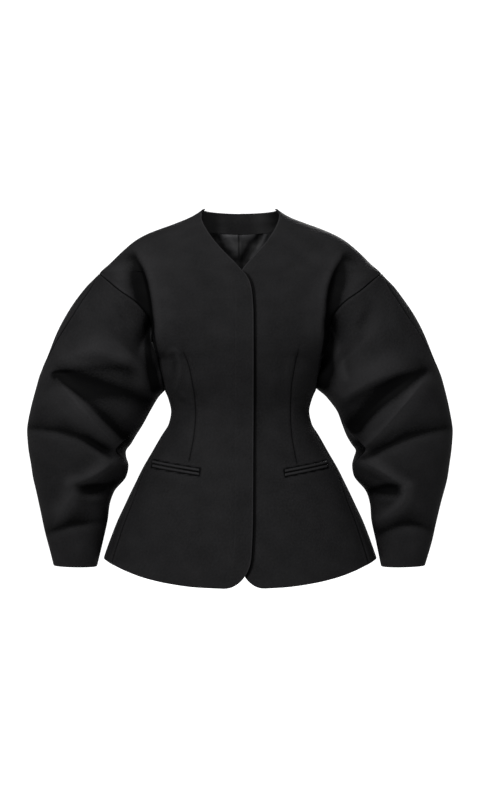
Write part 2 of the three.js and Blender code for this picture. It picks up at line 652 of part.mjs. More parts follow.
// The angle of a front's or back's outer edge: panel seam, armhole or shoulder line.
function outerEdge(height, back) {
  if (height >= SHOULDER_TIP) return QUARTER;
  if (height >= PANEL_TOP) return armholeAngle(height, back);
  const seam = back ? sideSeamBack : sideSeamFront;
  const miss = armholeAngle(PANEL_TOP, back) - radians(seam(PANEL_TOP));
  return radians(seam(height)) + miss * smooth(SEAM_BEND, PANEL_TOP, height);
}

// Moves an angle by a distance along the body's section.
function alongSection(angle, height, distance) {
  const step = BODY_SPAN.angle;
  const [before, after] = [bodyPoint(angle - step, height), bodyPoint(angle + step, height)];
  return angle + distance / Math.max(after.distanceTo(before) / (2 * step), LEAST_RADIAN);
}

const bodyNormal = (angle, height) =>
  normalAt(bodyPoint, angle, height, BODY_SPAN.angle, BODY_SPAN.height);

// How far a panel's outer edge keeps from its seam line, which is more along the armhole.
function edgeGap(height) {
  const armhole = height > PANEL_TOP && height < SHOULDER_TIP;
  return SEAM_GAP / 2 + (armhole ? SEAM_GAP : 0);
}

// The skin of a front. side is 1 for the wearer's left and -1 for the right, which lies on top.
function frontSkin(side) {
  const over = side < 0;
  return (u, row) => {
    const share = over ? 1 - u : u;
    const low = rowHeight(row, 0);
    const inner = bodyAngle(frontEdge(low, over), low);
    const outer = outerEdge(rowHeight(row, radians(SEAM_SIGHT.front)), false);
    const edge = alongSection(outer, rowHeight(row, outer), -edgeGap(row));
    const angle = mix(inner, edge, share);
    const height = rowHeight(row, angle);
    const normal = bodyNormal(side * angle, height);
    const point = bodyPoint(side * angle, height);
    const risen = smooth(...OVERLAP_ACROSS, point.x) * smooth(...OVERLAP_DOWN, -height);
    const lift = over ? OVERLAP_LIFT * risen : 0;
    return { point: point.addScaledVector(normal, lift), normal };
  };
}

// The back neck's edge dips a little towards its centre.
const neckDip = (angle, row) => NECK_DIP * Math.cos(angle) ** 2 * smooth(NECK_ROW, 0, row);

// The skin of a side panel, whose upper edge is the bottom of the armhole.
function sideSkin(side) {
  const first = armholeShare(armholeFrontSeam, PANEL_TOP) * 180;
  const last = 360 - armholeShare(armholeBackSeam, PANEL_TOP) * 180;
  return (u, row) => {
    const share = side > 0 ? u : 1 - u;
    const at = (back) => {
      const sight = back ? SEAM_SIGHT.back : SEAM_SIGHT.front;
      const outer = outerEdge(rowHeight(row, radians(sight)), back);
      return alongSection(outer, rowHeight(row, outer), (back ? -SEAM_GAP : SEAM_GAP) / 2);
    };
    const turn = share < 0.5 ? mix(first, 180, share * 2) : mix(180, last, share * 2 - 1);
    const place = armholePlace(turn);
    const way = (row - SIDE_PANEL_START) / (PANEL_TOP - SIDE_PANEL_START);
    const up = THREE.MathUtils.clamp(way, 0, 1);
    const plain = mix(at(false), at(true), share);
    const angle = share > 0 && share < 1 ? mix(plain, place.angle, up) : plain;
    const low = Math.min(rowHeight(row, angle), SIDE_PANEL_START);
    const height = mix(low, place.height - SEAM_GAP, up);
    return { point: bodyPoint(side * angle, height), normal: bodyNormal(side * angle, height) };
  };
}

// The skin of a back, from the side or armhole to the centre back seam.
function backSkin(side) {
  return (u, row) => {
    const share = side > 0 ? u : 1 - u;
    const low = rowHeight(row, Math.PI);
    const outer = outerEdge(rowHeight(row, radians(SEAM_SIGHT.back)), true);
    const start = alongSection(outer, rowHeight(row, outer), edgeGap(row));
    const centre = alongSection(Math.PI, low, -SEAM_GAP / 2);
    const angle = mix(start, centre, share);
    const height = rowHeight(row, angle) + neckDip(angle, row);
    return { point: bodyPoint(side * angle, height), normal: bodyNormal(side * angle, height) };
  };
}

// The skin of one half of a sleeve, between its two seams.
function sleeveSkin(side, front) {
  const surface = (turn, share) => sleevePoint(turn, share, side);
  const start = (SEAM_GAP + 0.05) / SLEEVE_LENGTH;
  return (u, v) => {
    const share = Math.max(1 - v, start);
    const towardsInner = side > 0 === front ? 1 - u : u;
    const [outer, inner] = [seamOuter(share), seamInner(share)];
    const speed = surface(outer + 1, share).distanceTo(surface(outer - 1, share)) / 2;
    const gap = SEAM_GAP / 2 / Math.max(speed, LEAST_DEGREE);
    const turn = front
      ? mix(outer + gap, inner - gap, towardsInner)
      : mix(outer + 360 - gap, inner + gap, towardsInner);
    const seamless = mix(front ? outer : outer + 360, inner, towardsInner);
    const normal = normalAt(surface, seamless, share, SLEEVE_SPAN.turn, SLEEVE_SPAN.share);
    if (side < 0) normal.negate();
    const place = armholePlace(turn);
    const seamNormal = bodyNormal(side * place.angle, place.height);
    const level = smooth(...RIM_FACING, Math.cos(radians(turn)));
    normal.lerp(seamNormal, level * (1 - smooth(...RIM_LENGTH, share))).normalize();
    return { point: surface(turn, share), normal };
  };
}

// The columns of a sleeve half start at the same points of the armhole as the panels' rows.
function sleeveColumns(front) {
  const seam = front ? armholeFrontSeam : armholeBackSeam;
  const shares = [SHOULDER_TIP, ...ARMHOLE_ROWS].map((height) => armholeShare(seam, height));
  shares[0] = 0;
  return [...shares, (shares[shares.length - 1] + 1) / 2, 1];
}

// The skin of a pocket lip on a front. drop is the distance from the slit to the lip's middle.
function lipSkin(side, drop) {
  const { outer, inner } = POCKETS[sideName(side)];
  return (u, v) => {
    const share = side > 0 ? u : 1 - u;
    const x = mix(inner[0], outer[0], share);
    const height = mix(inner[1], outer[1], share) + drop + (v - 0.5) * LIP_HEIGHT;
    const angle = side * bodyAngle(x, height);
    return { point: bodyPoint(angle, height), normal: bodyNormal(angle, height) };
  };
}

// The skin of the back neck facing, inside the backs.
function facingSkin(u, v) {
  const angle = mix(QUARTER, 3 * QUARTER, u);
  const turned = Math.min(angle, 2 * Math.PI - angle);
  const top = neckDip(angle, 0);
  const height = mix(facingEdge(degrees(turned)), top, v);
  return { point: bodyPoint(angle, height), normal: bodyNormal(angle, height) };
}

// How far the lining's tucks stand into the hollow, by distance from centre back and height.
function tuckStand(x, height) {
  let total = 0;
  for (const tuck of TUCKS) {
    const down = THREE.MathUtils.clamp((TUCK_TOP - height) / tuck.long, 0, 1);
    const off = x - tuck.across - tuck.lean * down;
    total += tuck.stand * (1 - down * down) * Math.exp(-((off / (tuck.wide * (1 + down))) ** 2));
  }
  return total;
}

// The skin of the back half lining, below the facing and between the armholes.
function liningSkin(u, v) {
  const across = Math.abs(2 * u - 1);
  const hem = LINING_END + LINING_RISE * across ** 2;
  const edgeRow = mix(hem, NECK_ROW, v);
  const edge = alongSection(outerEdge(edgeRow, true), edgeRow, LINING_MARGIN);
  const angle = mix(Math.PI, edge, across);
  const top = facingEdge(degrees(angle)) - SEAM_GAP;
  const height = mix(hem, top, v);
  const signed = u < 0.5 ? angle : -angle;
  const normal = bodyNormal(signed, height);
  const point = bodyPoint(signed, height);
  const ease = LINING_EASE * smooth(0, LINING_EASE_DOWN, top - height);
  return { point: point.addScaledVector(normal, -ease - tuckStand(point.x, height)), normal };
}

const blazer = new THREE.Group();
blazer.name = "collarless_blazer";

// Adds one piece of cloth.
function add(name, finish, skin, columns, rows, thickness, raised) {
  blazer.add(clothWall(name, finish, skin, columns, rows, thickness, raised));
}

// Columns as they are, or turned round for the other side.
function ordered(columns, turned) {
  return turned ? [...columns].reverse().map((u) => 1 - u) : columns;
}

for (const side of [-1, 1]) {
  const name = sideName(side);
  const frontColumns = ordered(sleeveColumns(true), side > 0);
  const backColumns = ordered(sleeveColumns(false), side < 0);
  const sleeveRows = evenly(SLEEVE_STEPS);
  add(`front_${name}`, BLACK_WOOL, frontSkin(side), evenly(FRONT_STEPS), PANEL_ROWS, CLOTH);
  add(`side_${name}`, BLACK_WOOL, sideSkin(side), evenly(SIDE_STEPS), SIDE_ROWS, CLOTH);
  add(`back_${name}`, BLACK_WOOL, backSkin(side), evenly(BACK_STEPS), PANEL_ROWS, CLOTH);
  add(`sleeve_front_${name}`, BLACK_WOOL, sleeveSkin(side, true), frontColumns, sleeveRows, CLOTH);
  add(`sleeve_back_${name}`, BLACK_WOOL, sleeveSkin(side, false), backColumns, sleeveRows, CLOTH);
  const drop = (SLIT + LIP_HEIGHT) / 2;
  const lipColumns = evenly(LIP_STEPS);
  const raised = WELT + 2 * LAYER_GAP;
  add(`pocket_lip_upper_${name}`, BLACK_WOOL, lipSkin(side, drop), lipColumns, [0, 1], WELT, raised);
  add(`pocket_lip_lower_${name}`, BLACK_WOOL, lipSkin(side, -drop), lipColumns, [0, 1], WELT, raised);
}
const [facingColumns, facingRows] = FACING_STEPS.map((count) => evenly(count));
const [liningColumns, liningRows] = LINING_STEPS.map((count) => evenly(count));
const [behindCloth, behindFacing] = [CLOTH + 2 * LAYER_GAP, CLOTH + 3 * LAYER_GAP];
add("back_neck_facing", BLACK_WOOL, facingSkin, facingColumns, facingRows, FACING, -behindCloth);
add("back_lining", BLACK_SATIN, liningSkin, liningColumns, liningRows, LINING, -behindFacing);

export default blazer;
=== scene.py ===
"""A black collarless blazer in its hollow worn form: the cloth, sewing and finishes on its frame.

Tables are in millimetres, in the frame of the part: +X is the wearer's left, -Y the front, +Z up,
and the origin lies midway between the two side neck points. Meshes are made in metres.
"""

import logging
import math
from collections.abc import Callable
from dataclasses import dataclass
from enum import Enum
from typing import ClassVar

import bmesh
import bpy
import numpy as np
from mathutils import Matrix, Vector

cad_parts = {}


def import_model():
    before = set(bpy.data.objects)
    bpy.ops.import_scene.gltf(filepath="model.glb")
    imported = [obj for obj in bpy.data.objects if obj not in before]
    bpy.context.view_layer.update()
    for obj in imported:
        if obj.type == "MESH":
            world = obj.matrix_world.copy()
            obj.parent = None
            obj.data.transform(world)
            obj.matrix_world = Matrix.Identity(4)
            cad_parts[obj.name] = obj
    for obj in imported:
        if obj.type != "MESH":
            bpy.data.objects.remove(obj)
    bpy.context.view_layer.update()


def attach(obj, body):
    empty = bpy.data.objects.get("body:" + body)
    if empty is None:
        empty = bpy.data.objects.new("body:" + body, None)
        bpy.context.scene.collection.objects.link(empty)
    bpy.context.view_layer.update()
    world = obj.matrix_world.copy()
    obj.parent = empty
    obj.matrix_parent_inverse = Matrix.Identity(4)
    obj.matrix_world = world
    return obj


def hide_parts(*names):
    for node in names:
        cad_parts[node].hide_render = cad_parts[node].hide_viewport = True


log = logging.getLogger("blazer")

MM = 0.001
QUARTER = math.pi / 2
Array = np.ndarray
Skin = Callable[[Array, Array], Array]

CLOTH = 2.0  # outer cloth with its fused backing
FACING = 1.2  # facing cloth at the back neck
LAYER_GAP = 0.3  # between a piece and the panel that it lies on
SEAM_LAP = 0.3  # how far each sewn edge reaches over its neighbour's
OVERLAP_LIFT = CLOTH + 3.0  # the right front lies this far out over the left front
OVERLAP_ACROSS = (-52.0, -12.0)  # its cloth rises to that between these distances from centre
OVERLAP_DOWN = (80.0, 108.0)  # and between these depths below the neck points

SHOULDER_TIP = -116.0  # where the shoulder line meets the armhole seam
UNDERARM = -275.0
PANEL_TOP = -262.0  # where the seams of the side panel meet the armhole
SIDE_PANEL_START = -322.0  # above this the side panel's rows bend to its armhole edge
SEAM_BEND = -320.0  # above this the panel seams bend to their ends at the armhole
PEPLUM = -540.0  # below this the rows lean towards the hem line
HEM_STEP = 1000.0  # a row under the peplum line is that line less this for the whole way down
NECK_ROW = -40.0  # above this the back's rows follow the dip of its neck edge
FAR_OFF = 60.0  # the mark of a point with no seam or folded edge near it


class Side(Enum):
    """One half of the blazer, by the wearer's hand."""

    RIGHT = -1
    LEFT = 1

    @property
    def word(self) -> str:
        """The side's name in the names of pieces."""
        return self.name.lower()


class Edge(Enum):
    """How an edge of a piece of cloth is finished."""

    SEWN = "sewn"
    SLANTING = "sewn, and seen at a slant"
    FOLDED = "folded"


def smooth(low: float, high: float, value: Array | float) -> Array:
    """A soft step from 0 at low to 1 at high."""
    t = np.clip((np.asarray(value, float) - low) / (high - low), 0.0, 1.0)
    return t * t * (3 - 2 * t)


def mix(a: Array | float, b: Array | float, share: Array | float) -> Array:
    """The value at a share of the way from a to b."""
    return a + (b - a) * share


def bell(distance: Array, width: Array | float) -> Array:
    """1 at no distance, and close to 0 at twice the width."""
    return np.exp(-((distance / width) ** 2))


def unit(vectors: Array) -> Array:
    """The vectors at length 1, and 0 where they have no length."""
    size = np.linalg.norm(vectors, axis=-1, keepdims=True)
    return np.divide(vectors, size, out=np.zeros_like(vectors), where=size > 1e-9)


def cubic(t: Array, start: Array, end: Array, leaving: Array, arriving: Array) -> Array:
    """A curve from start to end over t from 0 to 1, with its slopes at both."""
    t2, t3 = t * t, t * t * t
    return (
        start * (2 * t3 - 3 * t2 + 1)
        + end * (3 * t2 - 2 * t3)
        + leaving * (t3 - 2 * t2 + t)
        + arriving * (t3 - t2)
    )


class Curve:
    """A smooth curve through one column of a table, with no overshoot between its rows."""

    def __init__(self, rows: tuple[tuple[float, ...], ...], along: int, value: int) -> None:
        """Reads a table's rows.

        Args:
            rows: The table.
            along: Index of the column that the curve runs along.
            value: Index of the column that it gives.
        """
        ordered = sorted(rows, key=lambda row: row[along])
        self.at = np.array([row[along] for row in ordered], float)
        self.value = np.array([row[value] for row in ordered], float)
        rise = np.diff(self.value) / np.diff(self.at)
        before, after = rise[:-1], rise[1:]
        same = before * after > 0
        inner = np.where(same, 2 * before * after / np.where(same, before + after, 1.0), 0.0)
        self.slope = np.concatenate([rise[:1], inner, rise[-1:]])

    def __call__(self, x: Array | float) -> Array:
        """The curve's value at x."""
        x = np.asarray(x, float)
        i = np.clip(np.searchsorted(self.at, x, side="left") - 1, 0, len(self.at) - 2)
        span = self.at[i + 1] - self.at[i]
        t = np.clip((x - self.at[i]) / span, 0.0, 1.0)
        slopes = self.slope[i] * span, self.slope[i + 1] * span
        return cubic(t, self.value[i], self.value[i + 1], *slopes)


# Horizontal sections of the body: height, half width, depth in front, depth behind, squareness
BODY = (
    (8, 64, 40, 64, 2.0),
    (0, 73, 42, 67, 2.0),
    (-11, 91, 44, 70, 2.0),
    (-22, 119, 47, 74, 2.05),
    (-33, 149, 53, 78, 2.15),
    (-44, 175, 61, 82, 2.25),
    (-55, 194, 68, 86, 2.3),
    (-77, 220, 79, 92, 2.4),
    (-98, 241, 88, 97, 2.45),
    (-116, 260, 94, 100, 2.5),
    (-133, 268, 99, 102, 2.5),
    (-152, 268, 103, 104, 2.45),
    (-171, 258, 107, 105, 2.4),
    (-200, 236, 112, 105, 2.3),
    (-220, 212, 115, 104, 2.25),
    (-240, 188, 117, 102, 2.25),
    (-260, 168, 116, 100, 2.25),
    (-275, 153, 114, 98, 2.25),
    (-300, 148, 109, 93, 2.25),
    (-326, 142, 102, 87, 2.2),
    (-348, 133, 96, 82, 2.15),
    (-370, 128, 93, 79, 2.1),
    (-392, 132, 95, 81, 2.1),
    (-414, 145, 101, 87, 2.1),
    (-442, 161, 110, 97, 2.15),
    (-475, 180, 119, 109, 2.2),
    (-509, 197, 127, 120, 2.2),
    (-542, 213, 134, 129, 2.2),
    (-575, 228, 140, 138, 2.2),
    (-609, 241, 146, 145, 2.2),
    (-646, 254, 151, 151, 2.2),
    (-700, 271, 158, 158, 2.2),
)

# The armhole seam: height, half width at which it crosses the front, and the back
ARMHOLE = (
    (-116, 260, 260),
    (-133, 240, 243),
    (-152, 217, 226),
    (-171, 190, 212),
    (-188, 174, 201),
    (-203, 165, 192),
    (-220, 162, 182),
    (-240, 160, 171),
    (-260, 156.5, 159),
    (-275, 153, 153),
)

# The side panel's seams: height, angle from centre front of its front seam, and of its back seam
SIDE_SEAMS = (
    (-700, 65, 119),
    (-540, 68, 117),
    (-487, 73.5, 115),
    (-456, 76.5, 114),
    (-430, 77.5, 113),
    (-370, 78, 112),
    (-310, 74, 110),
    (-262, 69.5, 108.4),
)
SEAM_SIGHT = (65.0, 119.0)  # angles at which a row's height at these seams is taken

# The hem: angle from centre front, height
HEM = (
    (-25, -679),
    (0, -682),
    (14, -680),
    (27, -674),
    (40, -665),
    (51, -656),
    (63, -647.5),
    (80, -641),
    (95, -640),
    (125, -643),
    (180, -648),
)

# The front edges: height, distance from the centre plane of the upper front, and of the lower one
NECKLINE = (
    (4, 64.5, 64.5),
    (0, 69.5, 69.5),
    (-7, 71.8, 71.8),
    (-18, 70.3, 70.3),
    (-29, 66, 66.5),
    (-42, 58.8, 60),
    (-63, 44.4, 46.5),
    (-88, 22.6, 24.8),
    (-116, -2.2, 2.5),
    (-126, -11, -1),
    (-140, -18, -4),
    (-154, -21, -5.5),
    (-170, -22.6, -6),
    (-200, -23.8, -6),
    (-560, -22.6, -4),
    (-615, -20.5, -2.5),
    (-640, -18.5, -1.5),
    (-700, -14, 0),
)
CORNER_WIDE = 44.0  # rounded hem corner of each front, across and up
CORNER_HIGH = 54.0

# Sleeve sections: outer x and z, inner x and z, half depth, place of its middle, and how much
# farther out the left sleeve's outer and inner points lie
SLEEVE = (
    (286, -141, 150, -292, 84, 3, 0, 0),
    (313.5, -178, 143, -316, 94, 3, 0, 0),
    (336.5, -220, 148, -336, 99, 2, 0, 6),
    (354.5, -264.5, 159, -355, 100, 1, 0, 10),
    (370, -303.5, 168, -372, 98, 0, 0, 12),
    (380.5, -339.5, 180, -395, 95, -1, 0, 8.5),
    (388.5, -375.5, 193, -416, 91, -2, 0, 4),
    (392.5, -401.5, 202, -431, 88, -3, 0, 4),
    (391.5, -424, 210.5, -442, 85, -4, 0, 3),
    (389.5, -445, 210.5, -454, 84, -5, 0, 0),
    (385.5, -468, 206, -470, 81, -7, 0, 1),
    (381.5, -492, 211, -491, 76, -9, 0, 0.5),
    (376, -516, 231.5, -515, 69, -11, -0.5, 0),
    (370, -542, 240.5, -539, 62, -13, -1, -1),
    (363.5, -571.5, 244, -570, 54, -15, -2, -2),
    (354.5, -608.5, 252.5, -608.5, 45, -17, -2.5, -2.5),
    (343.5, -652.5, 263.5, -654.5, 37, -19, -4, -4),
)
SLEEVE_SQUARE = 2.1
SLEEVE_APPROACH = 34.0  # length over which the sleeve leaves the armhole

# The sleeve's seams: share of its length, angle round it of the outer seam, and of the inner one
SLEEVE_SEAMS = (
    (0.0, 0, 180),
    (0.03, 25, 180),
    (0.06, 31, 180),
    (0.12, 32, 180),
    (0.18, 29, 180),
    (0.26, 18, 179),
    (0.33, 4, 174),
    (0.4, -6, 165),
    (0.52, -12, 146),
    (0.62, -14, 172),
    (0.75, -14, 184),
    (1.0, -12, 184),
)

# The back neck facing's lower edge: angle from centre front, height
FACING_EDGE = (
    (90, -13),
    (110, -14),
    (135, -18),
    (150, -25.5),
    (160, -31.5),
    (180, -35),
)
NECK_TOP = 3.5  # height of the neck edge
NECK_DIP = -0.8  # how much lower the neck edge is at centre back
LINING_TOP = -40.0  # row of the lining's upper edge
LINING_END = -235.0
LINING_RISE = 14.0  # its lower edge rises this much towards the armholes
LINING_UNDER = 0.3  # its upper edge lies this far below the facing's lower one
LINING_EASE = 4.0  # how far it hangs free of the backs
LINING_EASE_DOWN = 30.0  # length below the facing over which it comes free
LINING_MARGIN = 12.0  # it stops this far short of the armholes
TUCK_TOP = -34.0  # height at which its tucks start


@dataclass(frozen=True)
class Fold:
    """A fold of the cloth, as somebody sees it who stands in front of or behind the blazer.

    Attributes:
        name: What it is.
        start: Distance from the centre plane and height of its start.
        via: The same for the middle of its curve.
        end: The same for its end.
        lift: How far the cloth stands out (+) or sinks (-) at its start, middle and end.
        left: Its width to the left of somebody who follows it.
        right: Its width to the right.
        crisp: Share of a sharp crest in its section, which is otherwise round.
    """

    name: str
    start: tuple[float, float]
    via: tuple[float, float]
    end: tuple[float, float]
    lift: tuple[float, float, float]
    left: float
    right: float
    crisp: float = 0.0

    STEPS: ClassVar[int] = 14  # straight steps of its curve
    CREST: ClassVar[float] = 1.4  # how fast a sharp crest falls off

    def line(self) -> Array:
        """The fold's curve as points, one row each."""
        a, b, c = (np.array(p, float) for p in (self.start, self.via, self.end))
        bend = 2 * b - (a + c) / 2
        t = np.linspace(0, 1, self.STEPS + 1)[:, None]
        return (1 - t) ** 2 * a + 2 * t * (1 - t) * bend + t * t * c

    def rise(self, x: Array, z: Array) -> Array:
        """How far the fold moves the cloth outwards.

        Args:
            x: Distance from the centre plane.
            z: Height.

        Returns:
            The move in millimetres, at each point.
        """
        line = self.line()
        best = np.full(x.shape, np.inf)
        lean, share = np.zeros(x.shape), np.zeros(x.shape)
        for k, (a, b) in enumerate(zip(line[:-1], line[1:])):
            dx, dz = b - a
            t = np.clip(((x - a[0]) * dx + (z - a[1]) * dz) / (dx * dx + dz * dz), 0, 1)
            ox, oz = x - a[0] - t * dx, z - a[1] - t * dz
            far = np.hypot(ox, oz)
            near = far < best
            best = np.where(near, far, best)
            turn = (dx * oz - dz * ox) / (math.hypot(dx, dz) * np.maximum(far, 1e-6))
            lean = np.where(near, turn, lean)
            share = np.where(near, (k + t) / (len(line) - 1), share)
        first, middle, last = self.lift
        lift = np.where(
            share < 0.5,
            mix(first, middle, smooth(0, 0.5, share)),
            mix(middle, last, smooth(0.5, 1, share)),
        )
        wide = mix(self.right, self.left, (lean + 1) / 2)
        return lift * mix(bell(best, wide), np.exp(-self.CREST * best / wide), self.crisp)


FRONT_FOLDS = {
    Side.RIGHT: (
        Fold("armpit", (192, -92), (172, -143), (163, -210), (-4, -17, -18), 26, 6),
        Fold("armpit", (163, -212), (160, -262), (150, -325), (-17, -12, -5), 15, 6),
        Fold("shoulder", (203, -78), (222, -135), (214, -215), (0, 1, 4), 20, 16),
        Fold("upper arm ridge", (310, -265), (256, -259), (206, -274), (2, 5, 5), 13, 38),
        Fold("under bulge", (318, -303), (258, -296), (206, -295), (-4, -5, -5), 36, 14),
        Fold("elbow tip", (336, -301), (316, -300), (292, -303), (-5, -4, 0), 9, 3.5),
        Fold("elbow hollow", (333, -303), (256, -325), (168, -352), (-5, -8, -6), 26, 17),
        Fold("elbow ridge", (333, -306), (281, -368), (222, -436), (5, 11, 8), 34, 12, 0.7),
        Fold("beside the ridge", (316, -318), (262, -364), (208, -422), (-3, -5.5, -6), 6, 28, 0.2),
        Fold("elbow dip", (384, -398), (297, -412), (232, -452), (-3, -5.5, -8), 8, 24, 0.25),
        Fold("forearm ridge", (229, -457), (254, -479), (300, -500), (7, 9, 4), 18, 10, 0.4),
        Fold("forearm hollow", (294, -504), (266, -508), (232, -500), (-5, -7, -3), 15, 8, 0.3),
        Fold("forearm slope", (298, -508), (318, -548), (346, -584), (6, 7, 2), 22, 16, 0.3),
        Fold("wrist dip", (352, -590), (304, -574), (250, -569), (-4, -5, -2), 8, 24, 0.3),
    ),
    Side.LEFT: (
        Fold("armpit", (188, -92), (166, -146), (160, -210), (-4, -17, -18), 24, 6),
        Fold("armpit", (160, -212), (158, -262), (148, -318), (-17, -16, -6), 20, 7),
        Fold("shoulder", (236, -146), (222, -192), (209, -228), (-1, -4, -2), 14, 12),
        Fold("side ridge", (186, -232), (178, -270), (186, -312), (1, 4, 3), 9, 10),
        Fold("upper arm ridge", (325, -286), (248, -309), (192, -341), (2, 8, 8), 10, 36),
        Fold("elbow hollow", (330, -298), (266, -339), (214, -396), (-6, -13, -12), 14, 26, 0.3),
        Fold("elbow ridge", (337, -308), (288, -364), (224, -438), (4, 9, 8), 20, 11, 0.7),
        Fold("elbow dip", (382, -398), (299, -416), (224, -455), (-3, -6, -8), 8, 24, 0.25),
        Fold("forearm ridge", (222, -460), (260, -481), (295, -506), (7, 9, 5), 16, 10, 0.4),
        Fold("forearm hollow", (292, -506), (266, -508), (238, -514), (-5, -6.5, -4), 15, 8, 0.3),
        Fold("forearm slope", (297, -512), (289, -538), (249, -567), (7, 8, 3), 16, 12, 0.4),
        Fold("wrist dip", (256, -590), (302, -573), (348, -585), (-3, -4.5, -2), 24, 8, 0.3),
    ),
}

BACK_FOLDS = {
    Side.RIGHT: (
        Fold("armpit", (215, -120), (186, -190), (166, -262), (0, -10, -16), 24, 12),
        Fold("elbow dip", (376, -352), (300, -372), (214, -428), (-3, -7, -10), 16, 20),
        Fold("elbow ridge", (370, -392), (306, -404), (232, -446), (1, 4, 3), 14, 10, 0.3),
        Fold("forearm dip", (352, -492), (292, -478), (226, -480), (-1, -5, -8), 10, 17, 0.2),
        Fold("wrist dip", (338, -556), (304, -570), (258, -562), (-1, -4, -5), 9, 16, 0.2),
    ),
    Side.LEFT: (
        Fold("armpit", (212, -124), (184, -196), (166, -262), (0, -9, -15), 24, 12),
        Fold("elbow dip", (370, -372), (304, -388), (216, -434), (-1, -8, -10), 20, 15, 0.2),
        Fold("forearm ridge", (338, -452), (288, -450), (232, -462), (1, 4, 3), 12, 12),
        Fold("forearm dip", (344, -486), (290, -476), (228, -488), (-1, -6, -8), 16, 10, 0.2),
        Fold("wrist dip", (332, -580), (300, -566), (256, -578), (-1, -4, -4), 14, 10),
    ),
}

# Shadow between the sleeve and the body, in the same terms, as a change of tone
CONTACT_SHADE = {
    Side.RIGHT: (
        Fold("above seam", (187, -94), (170, -143), (161, -209), (-0.25, -0.9, -1.1), 15, 3.5),
        Fold("core", (165, -200), (168, -252), (158, -330), (-0.8, -1.2, -0.9), 6.5, 5),
        Fold("under arm", (322, -308), (262, -316), (200, -328), (-0.3, -0.3, -0.25), 18, 16),
        Fold("edge", (158, -209), (151.5, -254), (141, -318), (-0.8, -1.0, -1.0), 2.2, 1.8),
    ),
    Side.LEFT: (
        Fold("above seam", (184, -94), (165, -146), (158, -209), (-0.25, -0.9, -1.1), 14, 3.5),
        Fold("core", (162, -200), (160, -252), (151, -318), (-0.8, -1.2, -0.9), 11, 6),
        Fold("edge", (156, -209), (150, -254), (143, -318), (-0.8, -1.0, -0.8), 2.2, 1.8),
    ),
}

# Small creases that lie on the form, in the same terms. Each moves the cloth along its own normal
BODY_CREASES = {
    Side.RIGHT: (
        Fold("armpit edge", (156, -176), (149, -228), (146, -300), (0.3, 1.6, 0.5), 5, 14),
        Fold("bust", (131, -268), (118, -259), (112, -272), (0.8, 1.2, 0.9), 7, 5),
        Fold("bust hollow", (122, -276), (122, -290), (129, -312), (-0.8, -1.4, -0.5), 7, 6),
        Fold("bust side", (112, -272), (109, -300), (124, -344), (1.0, 1.5, 0.5), 8, 4, 0.6),
        Fold("waist", (120, -342), (107, -352), (92, -356), (-0.2, -0.8, -0.2), 4, 7, 0.3),
        Fold("waist", (114, -334), (104, -340), (94, -346), (0.1, 0.6, 0.1), 5, 4),
        Fold("chest", (120, -80), (104, -118), (98, -170), (0, 1.0, 0), 22, 26),
    ),
    Side.LEFT: (
        Fold("chest", (160, -78), (110, -130), (62, -205), (1.4, 1.8, 0.2), 24, 20),
        Fold("chest", (152, -120), (120, -168), (84, -232), (0, -1.0, 0), 22, 20),
        Fold("bust", (92, -268), (86, -290), (84, -330), (0.4, 0.8, 0.2), 7, 6),
        Fold("bust hollow", (102, -268), (104, -284), (102, -312), (-0.3, -0.9, -0.2), 6, 6),
        Fold("waist", (112, -342), (100, -350), (88, -352), (-0.2, -0.8, -0.2), 6, 8),
    ),
}
BACK_CREASES = {
    Side.RIGHT: (
        Fold("shoulder blade", (150, -110), (126, -170), (120, -230), (0, 1.6, 0.2), 24, 20),
        Fold("waist", (104, -352), (78, -366), (40, -362), (0.2, -1.6, 0), 8, 9),
        Fold("waist", (112, -378), (86, -390), (54, -384), (0.2, 1.3, 0), 8, 9),
    ),
    Side.LEFT: (
        Fold("shoulder blade", (146, -116), (128, -180), (118, -240), (0, 1.4, 0.2), 22, 22),
        Fold("waist", (108, -358), (84, -370), (52, -366), (0.2, -1.4, 0), 8, 9),
        Fold("waist", (100, -384), (72, -394), (38, -388), (0.2, 1.2, 0), 9, 8),
    ),
}
SLEEVE_CREASES = {
    Side.RIGHT: (
        Fold("cap", (236, -150), (212, -176), (198, -212), (0, 2.0, 1.0), 8, 14),
        Fold("under elbow", (322, -330), (276, -352), (232, -372), (0, 1.6, 0.6), 14, 12),
        Fold("elbow", (292, -404), (262, -430), (226, -446), (0, -2.4, -2.0), 8, 8),
        Fold("forearm", (296, -520), (268, -528), (242, -524), (0.4, 1.8, 0.4), 7, 8),
        Fold("cuff", (300, -600), (292, -620), (296, -642), (0, 1.0, 0), 9, 9),
    ),
    Side.LEFT: (
        Fold("cap", (232, -168), (214, -196), (204, -226), (0, 1.6, 0.6), 8, 14),
        Fold("under elbow", (318, -336), (280, -372), (244, -402), (0, -1.4, -0.6), 12, 12),
        Fold("elbow", (300, -396), (268, -424), (232, -446), (0, 2.0, 1.2), 9, 7),
        Fold("forearm", (292, -520), (270, -528), (244, -526), (0.4, 1.8, 0.4), 7, 8),
        Fold("cuff", (310, -600), (316, -620), (312, -642), (0, 1.0, 0), 9, 9),
    ),
}


def folds_rise(
    folds: tuple[Fold, ...], x: Array, z: Array, where: Array | None = None
) -> Array:
    """How far a list of folds moves the cloth.

    Args:
        folds: The folds.
        x: Distance from the centre plane.
        z: Height.
        where: True at the points that they reach, if they don't reach all of them.

    Returns:
        The move at every point, and 0 where the list doesn't reach.
    """
    if where is None:
        where = np.ones(x.shape, bool)
    total = np.zeros(x.shape)
    if where.any():
        total[where] = sum(fold.rise(x[where], z[where]) for fold in folds)
    return total


